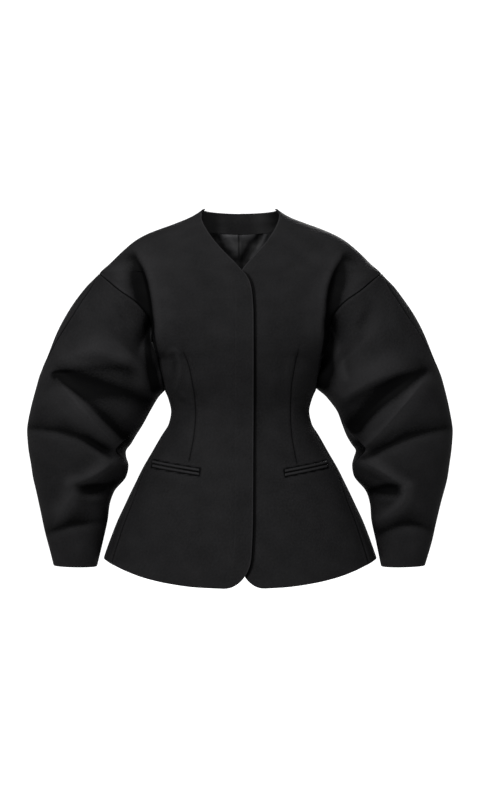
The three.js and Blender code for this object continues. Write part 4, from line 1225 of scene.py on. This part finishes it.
class ClothMesh:
    """The mesh of one cut piece: a grid laid on its skin, with its relief, as an object."""

    LENGTHWAYS = (25, 161)  # columns and rows at which a skin is measured for its rows
    CROSSWAYS = 81  # columns at which a row is measured for its columns
    SLANT = 0.5  # share of its distance at which a seam seen at a slant is marked
    WAVES = (150.0, 95.0, 60.0, 42.0)  # lengths of the waves in worn cloth
    HOLLOW_CELLS = 3
    # share of painted shade from a point's height against the cloth round it
    HOLLOW_SHADE = 0.35
    BEVEL = 0.3  # width of the turned edge as a share of the cloth's thickness
    BEVEL_OVER = math.radians(62)  # it is made where the mesh bends by more than this

    def __init__(self, cut: Cut, skin: Skin) -> None:
        """Lays the grid on the skin with even steps.

        Args:
            cut: The piece's facts.
            skin: The piece's skin.
        """
        self.cut = cut
        columns, rows = (np.linspace(0, 1, count) for count in self.LENGTHWAYS)
        rough = skin(columns[None, :], rows[:, None])
        gone = np.linalg.norm(np.diff(rough, axis=0), axis=-1).mean(axis=1)
        v = spaced(np.concatenate([[0], np.cumsum(gone)]), cut.kind.rows)
        across = skin(np.linspace(0, 1, self.CROSSWAYS)[None, :], v[:, None])
        gone = np.linalg.norm(np.diff(across, axis=1), axis=-1)
        along = np.concatenate([np.zeros((len(v), 1)), np.cumsum(gone, axis=1)], axis=1)
        u = np.stack([spaced(line, cut.kind.columns) for line in along])
        self.points = skin(u, v[:, None])
        self.u, self.v = u, np.broadcast_to(v[:, None], u.shape)
        self.moved = np.zeros(u.shape)
        self.marks: dict[str, Array] = {}
        self.right = self.run(1)
        self.up = self.run(0)

    def run(self, axis: int) -> Array:
        """Distance of each point along its row or column, from the piece's first edge."""
        gone = np.linalg.norm(np.diff(self.points, axis=axis), axis=-1)
        first = np.zeros_like(np.take(gone, [0], axis=axis))
        return np.concatenate([first, np.cumsum(gone, axis=axis)], axis=axis)

    def edge_distances(self) -> tuple[Array, Array, Array, Array]:
        """Distance of each point from the left, right, lower and upper edges."""
        return self.right, self.right[:, -1:] - self.right, self.up, self.up[-1:, :] - self.up

    def turn_edges(self, relief: Relief) -> None:
        """Turns in the piece's edges and marks how far each point is from a seam."""
        seam, rim = np.full(self.u.shape, FAR_OFF), np.full(self.u.shape, FAR_OFF)
        sunk = np.zeros(self.u.shape)
        for distance, edge in zip(self.edge_distances(), self.cut.edges):
            sunk = np.maximum(sunk, relief.sunk(distance, edge))
            if edge is Edge.FOLDED:
                rim = np.minimum(rim, distance)
            else:
                self.moved += relief.ply_high * bell(distance - relief.ply_at, relief.ply_wide)
                seen = distance * self.SLANT if edge is Edge.SLANTING else distance
                seam = np.minimum(seam, seen)
        self.moved -= sunk
        self.marks["seam"], self.marks["rim"] = seam, rim

    def places(self) -> tuple[Array, Array]:
        """Distance of each point from the centre plane, and its height."""
        return np.abs(self.points[..., 0]), self.points[..., 2]

    def shade(self, tone: Array) -> None:
        """Adds painted light (+) or painted shade (-) to the cloth's colour."""
        self.marks["shade"] = self.marks.get("shade", 0.0) + tone

    def crease(self, folds: tuple[Fold, ...]) -> None:
        """Adds small creases."""
        self.moved += folds_rise(folds, *self.places())

    def shade_folds(self, folds: tuple[Fold, ...], share: Array | float) -> None:
        """Adds the painted shade and highlights of folds, times a share at each point."""
        self.shade(FoldShade(folds)(*self.places()) * share)

    def soften(self, side: Side = Side.RIGHT) -> None:
        """Adds the slight unevenness of worn cloth."""
        seed = self.cut.kind.seeds[side is Side.LEFT]
        chance = np.random.default_rng(seed)
        total = np.zeros(self.u.shape)
        for size in self.WAVES:
            for _ in range(3):
                way = unit(chance.normal(size=3))
                aside = unit(np.cross(way, chance.normal(size=3)))
                phase, bend = chance.uniform(0, 2 * math.pi), chance.uniform(-0.6, 0.6)
                a, b = self.points @ way, self.points @ aside
                wave = np.sin(2 * math.pi * a / size + phase + bend * np.sin(b / size))
                total += size / self.WAVES[0] * wave
        self.moved += self.cut.kind.uneven * total / 3

    def paint_hollow_shade(self) -> None:
        """Marks the painted shade: darker where a point lies below (-) the cloth round it, lighter
        where it stands above (+), with the painted light and shade added before.
        """
        step = np.clip(self.moved - blurred(self.moved, self.HOLLOW_CELLS), -1, 1)
        self.marks["hollow"] = self.HOLLOW_SHADE * step + self.marks.pop("shade", 0.0)
        self.marks.setdefault("rim", np.full(self.u.shape, FAR_OFF))

    def settled(self) -> Array:
        """The points after all moves, with each sewn edge a little over its neighbour's."""
        p = self.points
        normal = unit(np.cross(np.gradient(p, axis=1), np.gradient(p, axis=0)))
        p = p + normal * self.moved[..., None]
        lines = ((p[:, 0], p[:, 1]), (p[:, -1], p[:, -2]), (p[0], p[1]), (p[-1], p[-2]))
        for edge, (line, inner) in zip(self.cut.edges, lines):
            if edge is not Edge.FOLDED:
                line += unit(line - inner) * SEAM_LAP
        return p

    def build(self, outside: bpy.types.Material, inside: bpy.types.Material) -> bpy.types.Object:
        """Makes the object.

        Args:
            outside: Material of its outer face and edges.
            inside: Material of its inner face.

        Returns:
            The object, with its thickness.
        """
        rows, columns = self.u.shape
        self.paint_hollow_shade()
        bm = bmesh.new()
        bmesh.ops.create_grid(
            bm, x_segments=columns - 1, y_segments=rows - 1, size=1.0, calc_uvs=True
        )
        mesh = bpy.data.meshes.new(self.cut.name + "_cloth")
        bm.to_mesh(mesh)
        bm.free()
        co = np.empty(len(mesh.vertices) * 3, np.float32)
        mesh.vertices.foreach_get("co", co)
        place = co.reshape(-1, 3)
        i = np.rint((place[:, 0] + 1) / 2 * (columns - 1)).astype(int)
        j = np.rint((place[:, 1] + 1) / 2 * (rows - 1)).astype(int)
        mesh.vertices.foreach_set("co", (self.settled()[j, i] * MM).astype(np.float32).ravel())
        self.marks["across"] = self.right - self.right[:, columns // 2, None]
        self.marks["down"] = np.broadcast_to(self.up.mean(axis=1, keepdims=True), self.u.shape)
        for name, values in self.marks.items():
            layer = mesh.attributes.new(name, "FLOAT", "POINT")
            layer.data.foreach_set("value", (values[j, i] * MM).astype(np.float32))
        mesh.polygons.foreach_set("use_smooth", [True] * len(mesh.polygons))
        mesh.materials.append(outside)
        mesh.materials.append(inside)
        mesh.update()
        piece = bpy.data.objects.new(mesh.name, mesh)
        bpy.context.scene.collection.objects.link(piece)
        shell = piece.modifiers.new("thickness", "SOLIDIFY")
        shell.thickness = self.cut.kind.thick * MM
        shell.offset = -1.0
        shell.material_offset = 1
        shell.material_offset_rim = 0
        turned = piece.modifiers.new("turned edge", "BEVEL")
        turned.width = self.BEVEL * self.cut.kind.thick * MM
        turned.segments = 2
        turned.limit_method = "ANGLE"
        turned.angle_limit = self.BEVEL_OVER
        turned.use_clamp_overlap = True
        return piece


class Wire:
    """A value inside a shader. Its operators add Math nodes."""

    def __init__(self, shader: "Shader", socket: bpy.types.NodeSocket) -> None:
        """Keeps the socket and the shader that it belongs to."""
        self.shader, self.socket = shader, socket

    def __add__(self, other: "Wire | float") -> "Wire":
        """The sum."""
        return self.shader.math("ADD", self, other)

    __radd__ = __add__

    def __mul__(self, other: "Wire | float") -> "Wire":
        """The product."""
        return self.shader.math("MULTIPLY", self, other)

    def __sub__(self, other: "Wire | float") -> "Wire":
        """The difference."""
        return self.shader.math("SUBTRACT", self, other)

    def __rsub__(self, other: float) -> "Wire":
        """The difference the other way round."""
        return self.shader.math("SUBTRACT", other, self)

    def __truediv__(self, other: "Wire | float") -> "Wire":
        """The quotient."""
        return self.shader.math("DIVIDE", self, other)


class Shader:
    """The nodes of one material."""

    def __init__(self, name: str) -> None:
        """Starts a material with one Principled shader."""
        self.material = bpy.data.materials.new(name)
        self.material.use_nodes = True
        self.tree = self.material.node_tree
        self.tree.nodes.clear()
        self.surface = self.tree.nodes.new("ShaderNodeBsdfPrincipled")
        out = self.tree.nodes.new("ShaderNodeOutputMaterial")
        self.tree.links.new(self.surface.outputs["BSDF"], out.inputs["Surface"])

    def node(
        self, kind: str, settings: dict | None = None, inputs: dict | None = None
    ) -> bpy.types.Node:
        """Adds a node.

        Args:
            kind: The node's type.
            settings: Its own settings, which are set first.
            inputs: Values or links of its sockets, by name or number.

        Returns:
            The node.
        """
        made = self.tree.nodes.new(kind)
        for key, value in (settings or {}).items():
            setattr(made, key, value)
        for key, value in (inputs or {}).items():
            self.put(made.inputs[key], value)
        return made

    def put(self, socket: bpy.types.NodeSocket, value: "Wire | float | tuple") -> None:
        """Sets or links one socket."""
        if isinstance(value, Wire):
            self.tree.links.new(value.socket, socket)
        else:
            socket.default_value = value

    def math(self, operation: str, a: "Wire | float", b: "Wire | float" = 0.0) -> Wire:
        """The result of a Math node."""
        made = self.node("ShaderNodeMath", {"operation": operation}, {0: a, 1: b})
        return Wire(self, made.outputs[0])

    def mark(self, name: str) -> Wire:
        """A value that the mesh carries at its points."""
        made = self.node("ShaderNodeAttribute", {"attribute_name": name})
        return Wire(self, made.outputs["Fac"])

    def ridge(self, distance: Wire, width: float) -> Wire:
        """1 where the distance is 0, and close to 0 at twice the width."""
        share = distance / width
        return self.math("EXPONENT", share * share * -1.0)

    def noise(self, place: Wire, scale: float, detail: float = 2.0) -> Wire:
        """A Noise texture."""
        made = self.node(
            "ShaderNodeTexNoise", {}, {"Vector": place, "Scale": scale, "Detail": detail}
        )
        return Wire(self, made.outputs["Fac"])

    def place(self) -> Wire:
        """The place on the cloth in metres: across, down, 0."""
        made = self.node(
            "ShaderNodeCombineXYZ", {}, {"X": self.mark("across"), "Y": self.mark("down")}
        )
        return Wire(self, made.outputs[0])

    def spot(self) -> Wire:
        """The place in the object's own coordinates."""
        made = self.node("ShaderNodeTexCoord")
        return Wire(self, made.outputs["Object"])

    def blend(self, a: tuple, b: tuple, share: Wire) -> Wire:
        """A colour between two."""
        made = self.node("ShaderNodeMix", {"data_type": "RGBA"}, {0: share, 6: a, 7: b})
        return Wire(self, made.outputs[2])

    def bump(self, height: Wire, distance: float, strength: float) -> Wire:
        """The normal over a height that goes from 0 to 1, times a distance in metres."""
        made = self.node(
            "ShaderNodeBump", {}, {"Height": height, "Distance": distance, "Strength": strength}
        )
        return Wire(self, made.outputs["Normal"])

    def dress(self, **sockets: "Wire | float | tuple") -> bpy.types.Material:
        """Sets the Principled shader's sockets, with _ for a space in their names."""
        for name, value in sockets.items():
            self.put(self.surface.inputs[name.replace("_", " ")], value)
        return self.material


@dataclass(frozen=True)
class WoolFinish:
    """Dense black wool with a short dry nap.

    Attributes:
        deep: Its darkest tone.
        light: Its lightest tone.
        roughness: Roughness.
        specular: Specular level.
        thread: Spacing of the twill's ribs in metres.
        seam: Half width of the dark line along a seam in metres.
        line: The same for a dart and the closing's stitching.
        rim_in: Distance from a folded edge of its painted highlight line.
        rim_wide: Half width of that line.
        level: What the tone loses everywhere.
        rim: What the tone gains on that painted highlight along a folded edge.
        hollow: Painted shade and light: what the tone gains for each millimetre of the mark
            "hollow".
        groove: Share of the tone that goes in the dark lines.
        relief: Height of the nap and twill in metres.
    """

    deep: tuple = (0.0004, 0.0004, 0.00044, 1.0)
    light: tuple = (0.0063, 0.0062, 0.0065, 1.0)
    roughness: float = 0.7
    specular: float = 0.012
    thread: float = 0.0009
    seam: float = 0.0011
    line: float = 0.0009
    rim_in: float = 0.0013
    rim_wide: float = 0.0008
    level: float = 0.13
    rim: float = 0.45
    hollow: float = 0.58
    groove: float = 0.9
    relief: float = 0.0001

    def material(self, name: str, lines: tuple[str, ...] = ()) -> bpy.types.Material:
        """Makes the material.

        Args:
            name: Its name.
            lines: Marks of sewn lines that the piece carries.

        Returns:
            The material.
        """
        s = Shader(name)
        place = s.place()
        cloud = s.noise(place, 24.0, 5.0)
        grain = s.noise(place, 1500.0, 1.0)
        felt = s.noise(place, 300.0, 2.0)
        ribs = s.node(
            "ShaderNodeTexWave",
            {"wave_type": "BANDS", "bands_direction": "DIAGONAL"},
            {"Vector": place, "Scale": 0.16 / self.thread, "Distortion": 1.5, "Detail": 1.0},
        )
        twill = Wire(s, ribs.outputs["Fac"])
        groove = s.ridge(s.mark("seam"), self.seam)
        for name in lines:
            drawn = s.ridge(s.mark(name), self.line) * s.mark(name + "_shown") * (1 / MM)
            groove = s.math("MAXIMUM", groove, drawn)
        rim = s.ridge(s.mark("rim") - self.rim_in, self.rim_wide)
        nap = cloud * 0.4 + grain * 0.1 + felt * 0.6 + twill * 0.08
        # Painted light and shade: the rim line is a painted highlight along folded edges, and the
        # mark "hollow" carries painted shade and highlights.
        tone = nap - self.level + rim * self.rim + s.mark("hollow") * (self.hollow / MM)
        shade = tone * (1 - groove * self.groove)
        height = twill * 0.35 + grain * 0.65 - groove * 9.0
        return s.dress(
            Base_Color=s.blend(self.deep, self.light, shade),
            Roughness=self.roughness + (grain - 0.5) * 0.16,
            Specular_IOR_Level=self.specular,
            Normal=s.bump(height, self.relief, 0.7),
        )


@dataclass(frozen=True)
class SatinFinish:
    """Black lining satin.

    Attributes:
        deep: Its darkest tone.
        light: Its lightest tone.
        roughness: Roughness.
        specular: Specular level.
        hollow: Painted shade and light: what the tone gains for each millimetre of the mark
            "hollow".
        pleat: Half width of the painted shadow line along the centre pleat in metres.
        pleat_dark: Share of the tone that goes in that painted shadow.
    """

    deep: tuple = (0.0008, 0.0008, 0.0009, 1.0)
    light: tuple = (0.025, 0.025, 0.026, 1.0)
    roughness: float = 0.5
    specular: float = 0.08
    hollow: float = 0.6
    pleat: float = 0.0016
    pleat_dark: float = 0.95

    def material(self, name: str) -> bpy.types.Material:
        """Makes the material under a name."""
        s = Shader(name)
        place = s.place()
        cloud = s.noise(place, 60.0, 3.0)
        threads = s.noise(place, 900.0, 1.0)
        # The mark "hollow" paints shade and highlights, and the pleat line is a painted shadow.
        tone = cloud * 0.3 + threads * 0.1 + s.mark("hollow") * (self.hollow / MM)
        tone = tone * (1 - s.ridge(s.mark("pleat"), self.pleat) * self.pleat_dark)
        return s.dress(
            Base_Color=s.blend(self.deep, self.light, tone),
            Roughness=self.roughness + (cloud - 0.5) * 0.16,
            Specular_IOR_Level=self.specular,
            Normal=s.bump(cloud * 0.7 + threads * 0.3, 0.0004, 0.5),
        )


@dataclass(frozen=True)
class PaperFinish:
    """The studio's white sweep, lit from behind.

    Attributes:
        tone: Its lighter tone.
        shade: Its darker tone.
        glow: How much light comes through it.
    """

    tone: tuple = (0.30, 0.30, 0.30, 1.0)
    shade: tuple = (0.28, 0.28, 0.285, 1.0)
    glow: float = 0.92

    def material(self) -> bpy.types.Material:
        """Makes the material."""
        s = Shader("white_sweep")
        return s.dress(
            Base_Color=s.blend(self.shade, self.tone, s.noise(s.spot(), 1.5)),
            Roughness=0.9,
            Specular_IOR_Level=0.1,
            Emission_Color=(1.0, 1.0, 1.0, 1.0),
            Emission_Strength=self.glow,
        )


@dataclass(frozen=True)
class Wardrobe:
    """The materials that the pieces share."""

    wool: bpy.types.Material
    # a lighter copy of the wool, painted light for the inner face of the back neck facing
    facing: bpy.types.Material
    front_right: bpy.types.Material
    front_left: bpy.types.Material
    satin: bpy.types.Material


def sew_in(piece: bpy.types.Object, cut: Cut, slot: str, *nodes: str) -> None:
    """Attaches a finished piece of cloth to the root, hides the CAD nodes that it stands for and
    logs its size.

    Args:
        piece: The object.
        cut: The facts of its cut; not used.
        slot: Name of a material slot; not used.
        nodes: The CAD nodes that it stands for.
    """
    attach(piece, "root")
    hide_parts(*nodes)
    log.info("%s: %d points before its thickness", piece.name, len(piece.data.vertices))


@dataclass(frozen=True)
class Stroke:
    """A soft line in tone or relief.

    Attributes:
        strength: Its value in the middle.
        at: Distance of its middle from what it runs along.
        wide: Its half width.
    """

    strength: float
    at: float
    wide: float

    def __call__(self, distance: Array) -> Array:
        """The line's value at distances from what it runs along."""
        return self.strength * bell(distance - self.at, self.wide)


@dataclass(frozen=True)
class Fronts:
    """The two fronts, with darts, the closing edge and its sewing.

    Attributes:
        fold_rows: Heights between which the painted shade of the sleeve's folds comes in.
        dart: Relief of a dart.
        dart_fade: Length over which it starts.
        bed_deep: Depth of the bed in which a pocket's lips lie.
        bed_edge: Distances inside its rectangle between which it sinks.
        bed_shade: Painted shade along its edge.
        lap_shadow: Shadow of the upper front's edge on the lower front.
        lap_wide_shadow: Wider shadow beside it at the waist.
        lap_waist: How far up and down the waist that one reaches.
        lap_start: Heights between which the shadows come in.
        fly_at: Distance of the closing's dark stitch line from its painted highlight line.
        fly_dark: Strength of the dark line.
        fly_highlight: Tone of the painted highlight along the stitching.
        fly_fade: Length over which they start.
    """

    fold_rows: tuple[float, float] = (-350.0, -335.0)
    dart: Stroke = Stroke(0.7, 0.0, 3.0)
    dart_fade: float = 30.0
    bed_deep: float = 0.9
    bed_edge: tuple[float, float] = (-1.0, 1.2)
    bed_shade: Stroke = Stroke(-1.6, 0.2, 1.3)
    lap_shadow: Stroke = Stroke(4.5, 0.8, 3.0)
    lap_wide_shadow: Stroke = Stroke(0.35, 0.0, 16.0)
    lap_waist: Stroke = Stroke(1.0, -370.0, 60.0)
    lap_start: tuple[float, float] = (-112.0, -135.0)
    fly_at: float = 1.2
    fly_dark: float = 0.12
    fly_highlight: Stroke = Stroke(0.16, 0.0, 1.2)
    fly_fade: float = 12.0

    def build(self, patterns: Patterns, wardrobe: Wardrobe) -> None:
        """Builds and declares both fronts."""
        for side in Side:
            over = side is Side.RIGHT
            sides = (Edge.SLANTING, Edge.FOLDED) if over else (Edge.FOLDED, Edge.SLANTING)
            cut = Cut(f"front_{side.word}", FRONT, (*sides, Edge.FOLDED, Edge.FOLDED))
            cloth = ClothMesh(cut, patterns.front(side))
            cloth.turn_edges(Relief())
            self.sew_lines(cloth, side, patterns.body)
            cloth.crease(BODY_CREASES[side])
            # Painted shade and highlights of the sleeve's folds, and the painted shadow between the
            # sleeve and the body.
            cloth.shade_folds(FRONT_FOLDS[side], smooth(*self.fold_rows, cloth.points[..., 2]))
            cloth.shade(folds_rise(CONTACT_SHADE[side], *cloth.places()))
            cloth.soften(side)
            outside = wardrobe.front_right if over else wardrobe.front_left
            sew_in(cloth.build(outside, wardrobe.satin), cut, "black_wool", cut.name)

    def sew_lines(self, cloth: ClothMesh, side: Side, body: BodyForm) -> None:
        """Adds the dart, the pocket's bed with painted shade along its edge and the closing's
        stitch line with a painted highlight to a front, and to the left front the painted shadow of
        the right front's edge.
        """
        x, z = cloth.points[..., 0] * side.value, cloth.points[..., 2]
        off, shown = DARTS[side].off(x, z), DARTS[side].shown(z, self.dart_fade)
        cloth.moved -= shown * self.dart(off)
        cloth.marks["dart"], cloth.marks["dart_shown"] = off, shown
        inside = POCKETS[side].inside(x, z)
        cloth.moved -= self.bed_deep * smooth(*self.bed_edge, inside)
        # Painted shade along the edge of the pocket's bed.
        cloth.shade(self.bed_shade(inside))
        if side is Side.LEFT:
            # Painted shadow of the right front's edge on the left front.
            lap = x + body.front_edge(z, Side.RIGHT)
            shadow = self.lap_shadow(lap) + self.lap_wide_shadow(lap) * self.lap_waist(z)
            cloth.shade(-shadow * smooth(*self.lap_start, z))
        else:
            fly, shown = FLY.off(x, z), FLY.shown(z, self.fly_fade)
            cloth.marks["fly"], cloth.marks["fly_shown"] = fly - self.fly_at, self.fly_dark * shown
            # Painted highlight along the closing's stitching.
            cloth.shade(self.fly_highlight(fly) * shown)


@dataclass(frozen=True)
class Panels:
    """The side panels and the backs."""

    def build(self, patterns: Patterns, wardrobe: Wardrobe) -> None:
        for side in Side:
            edges = (Edge.SLANTING, Edge.SLANTING, Edge.FOLDED, Edge.SEWN)
            cut = Cut(f"side_{side.word}", SIDE_PANEL, edges)
            cloth = ClothMesh(cut, patterns.side_panel(side))
            cloth.turn_edges(Relief())
            cloth.soften(side)
            sew_in(cloth.build(wardrobe.wool, wardrobe.satin), cut, "black_wool", cut.name)
            edges = (Edge.SEWN, Edge.SEWN, Edge.FOLDED, Edge.FOLDED)
            cut = Cut(f"back_{side.word}", BACK, edges)
            cloth = ClothMesh(cut, patterns.back(side))
            cloth.turn_edges(Relief())
            cloth.crease(BACK_CREASES[side])
            cloth.soften(side)
            sew_in(cloth.build(wardrobe.wool, wardrobe.satin), cut, "black_wool", cut.name)


@dataclass(frozen=True)
class Sleeves:
    """The four sleeve halves.

    Attributes:
        fold_start: Shares up a front half between which the painted shade of its folds comes in.
    """

    fold_start: tuple[float, float] = (1.0, 0.86)

    def build(self, patterns: Patterns, wardrobe: Wardrobe) -> None:
        for side in Side:
            for front in (True, False):
                sides = (Edge.SEWN, Edge.SLANTING)
                if (side is Side.LEFT) != front:
                    sides = sides[::-1]
                name = f"sleeve_{'front' if front else 'back'}_{side.word}"
                kind = SLEEVE_FRONT if front else SLEEVE_BACK
                cut = Cut(name, kind, (*sides, Edge.FOLDED, Edge.SEWN))
                cloth = ClothMesh(cut, patterns.sleeve(side, front))
                cloth.turn_edges(Relief())
                if front:
                    # Painted shade and highlights of the folds.
                    cloth.shade_folds(FRONT_FOLDS[side], smooth(*self.fold_start, cloth.v))
                    cloth.crease(SLEEVE_CREASES[side])
                    # Painted shadow between the sleeve and the body.
                    cloth.shade(folds_rise(CONTACT_SHADE[side], *cloth.places()))
                else:
                    # Painted shade and highlights of the back folds.
                    cloth.shade_folds(BACK_FOLDS[side], 1.0)
                cloth.soften(side)
                sew_in(cloth.build(wardrobe.wool, wardrobe.satin), cut, "black_wool", name)


@dataclass(frozen=True)
class PocketLips:
    """The two lips of each pocket.

    Attributes:
        tone: Painted highlight along a lip's rounded middle.
        edge_shade: Painted shade that the tone loses at its edges, where the lip turns under.
        edge_round: How late across the lip it loses that.
        end_shade: Painted shade that it loses at the ends.
    """

    tone: float = 0.75
    edge_shade: float = 2.4
    edge_round: float = 3.0
    end_shade: Stroke = Stroke(2.0, 0.0, 1.3)

    def build(self, patterns: Patterns, wardrobe: Wardrobe) -> None:
        for side, pocket in POCKETS.items():
            middle = (pocket.slit + pocket.lip_height) / 2
            for word, above in (("upper", middle), ("lower", -middle)):
                cut = Cut(f"pocket_lip_{word}_{side.word}", POCKET_LIP)
                cloth = ClothMesh(cut, patterns.lip(side, above, pocket))
                end = np.minimum(cloth.right, cloth.right[:, -1:] - cloth.right)
                edge = self.edge_shade * np.abs(2 * cloth.v - 1) ** self.edge_round
                cloth.marks["seam"] = np.full(cloth.u.shape, FAR_OFF)
                # Painted light on the lip's rounded middle and painted shade at its edges and ends.
                cloth.shade(self.tone - edge - self.end_shade(end))
                sew_in(cloth.build(wardrobe.wool, wardrobe.wool), cut, "black_wool", cut.name)


@dataclass(frozen=True)
class BackNeck:
    """The back neck facing and the half lining that hangs from it.

    Attributes:
        facing_painted_light: Painted light that the facing's tone gains towards its ends, which lie
            in shade.
        facing_ends: Distances from centre back between which it does.
        drape: How far the lining's painted highlights and shadows also move its cloth, for each
            unit of their tone.
        lining_tone: What the lining's tone loses everywhere.
    """

    facing_painted_light: float = 1.1
    facing_ends: tuple[float, float] = (15.0, 50.0)
    drape: float = 2.0
    lining_tone: float = 0.05

    def build(self, patterns: Patterns, wardrobe: Wardrobe) -> None:
        cut = Cut("back_neck_facing", NECK_FACING)
        cloth = ClothMesh(cut, patterns.facing())
        cloth.marks["seam"] = np.full(cloth.u.shape, FAR_OFF)
        # Painted light towards the facing's ends, which lie in shade.
        cloth.shade(self.facing_painted_light * smooth(*self.facing_ends, cloth.places()[0]))
        sew_in(cloth.build(wardrobe.wool, wardrobe.facing), cut, "black_wool", cut.name)
        cut = Cut("back_lining", HALF_LINING)
        cloth = ClothMesh(cut, patterns.lining(TUCKS))
        x, z = cloth.points[..., 0], cloth.points[..., 2]
        # Painted highlights and shadows of the lining, which also move its cloth.
        tone = folds_rise(LINING_FOLDS, x, z)
        cloth.moved -= self.drape * tone
        cloth.shade(tone - self.lining_tone)
        cloth.marks["pleat"] = x - LINING_PLEAT
        cloth.soften()
        sew_in(cloth.build(wardrobe.satin, wardrobe.satin), cut, "black_satin", cut.name)


@dataclass(frozen=True)
class Studio:
    """The camera, the lights and the white sweep, in metres.

    Attributes:
        aim: The point that the camera looks at.
        far: Its distance from the blazer's middle plane.
        frame_high: Height of the picture at that plane.
        frame_high_px: Height of the picture in pixels.
        aside_px: How far the blazer lies from the middle of the picture in pixels.
        air: Strength of the light from all round.
        floor: Height of the floor.
        wide: Radius of its flat part.
        bend: Radius of the curve up to the wall.
        high: Height of the wall.
    """

    aim: tuple[float, float, float] = (0.0, 0.0, -0.349)
    far: float = 3.2
    frame_high: float = 1.48
    frame_high_px: float = 800.0
    aside_px: float = 0.2
    air: float = 0.1
    floor: float = -1.12
    wide: float = 9.0
    bend: float = 2.0
    high: float = 5.0

    def build(self) -> None:
        """Builds the studio."""
        self.sweep()
        self.light("key", (-1.5, -3.0, 2.6), (1.0, 1.0), 640.0)
        self.light("fill", (2.4, -3.8, 0.8), (2.0, 2.0), 110.0)
        self.light("top", (0.0, 0.4, 3.2), (2.0, 1.4), 120.0)
        self.light("back", (0.8, 4.0, 2.0), (1.8, 1.6), 200.0)
        world = bpy.data.worlds.new("studio_air")
        world.use_nodes = True
        background = world.node_tree.nodes["Background"]
        background.inputs["Color"].default_value = (1.0, 1.0, 1.0, 1.0)
        background.inputs["Strength"].default_value = self.air
        bpy.context.scene.world = world
        self.camera()

    def sweep(self) -> None:
        """Makes the floor that curves up into a round white wall."""
        profile = [(0.0, self.floor)]
        for turn in range(0, 91, 10):
            a = math.radians(turn)
            up = self.floor + self.bend * (1 - math.cos(a))
            profile.append((self.wide + self.bend * math.sin(a), up))
        profile.append((self.wide + self.bend, self.floor + self.high))
        bm = bmesh.new()
        points = [bm.verts.new((x, 0.0, z)) for x, z in profile]
        lines = [bm.edges.new(pair) for pair in zip(points[:-1], points[1:])]
        bmesh.ops.spin(
            bm,
            geom=[*points, *lines],
            axis=(0, 0, 1),
            cent=(0, 0, 0),
            angle=2 * math.pi,
            steps=96,
            use_merge=True,
        )
        bmesh.ops.remove_doubles(bm, verts=bm.verts, dist=1e-4)
        bmesh.ops.recalc_face_normals(bm, faces=bm.faces)
        mesh = bpy.data.meshes.new("sweep")
        bm.to_mesh(mesh)
        bm.free()
        mesh.polygons.foreach_set("use_smooth", [True] * len(mesh.polygons))
        mesh.materials.append(PaperFinish().material())
        sweep = bpy.data.objects.new("sweep", mesh)
        bpy.context.scene.collection.objects.link(sweep)

    def light(self, name: str, place: tuple, size: tuple, power: float) -> None:
        """Adds a soft area light that faces the blazer."""
        data = bpy.data.lights.new(name, "AREA")
        data.shape = "RECTANGLE"
        data.size, data.size_y = size
        data.energy = power
        lamp = bpy.data.objects.new(name, data)
        lamp.location = place
        way = Vector(self.aim) - Vector(place)
        lamp.rotation_euler = way.to_track_quat("-Z", "Y").to_euler()
        bpy.context.scene.collection.objects.link(lamp)

    def camera(self) -> None:
        """Places the camera straight in front, as the photograph was taken."""
        data = bpy.data.cameras.new("camera")
        data.sensor_width = 36.0
        data.lens = data.sensor_width * self.far / self.frame_high
        data.shift_x = -self.aside_px / self.frame_high_px
        eye = bpy.data.objects.new("camera", data)
        eye.location = (self.aim[0], -self.far, self.aim[2])
        eye.rotation_euler = (math.radians(90), 0.0, 0.0)
        bpy.context.scene.collection.objects.link(eye)
        bpy.context.scene.camera = eye


def main() -> None:
    """Dresses the frame and lights it."""
    logging.basicConfig(level=logging.INFO, format="%(name)s: %(message)s")
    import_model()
    bpy.context.scene.view_settings.view_transform = "Standard"
    body = BodyForm()
    patterns = Patterns(body, {side: SleeveForm(body, side) for side in Side})
    wool = WoolFinish()
    # A lighter copy of the wool: painted light for the inner face of the back neck facing, which
    # lies in shade.
    facing = WoolFinish(deep=(0.0008, 0.0008, 0.00085, 1.0), light=(0.0096, 0.0095, 0.0098, 1.0))
    wardrobe = Wardrobe(
        wool=wool.material("black_wool"),
        facing=facing.material("black_wool_facing"),
        front_right=wool.material("black_wool_right_front", ("dart", "fly")),
        front_left=wool.material("black_wool_left_front", ("dart",)),
        satin=SatinFinish().material("black_satin"),
    )
    for group in (Fronts(), Panels(), Sleeves(), PocketLips(), BackNeck()):
        group.build(patterns, wardrobe)
        log.info("%s built", type(group).__name__)
    Studio().build()


if __name__ == "__main__":
    main()
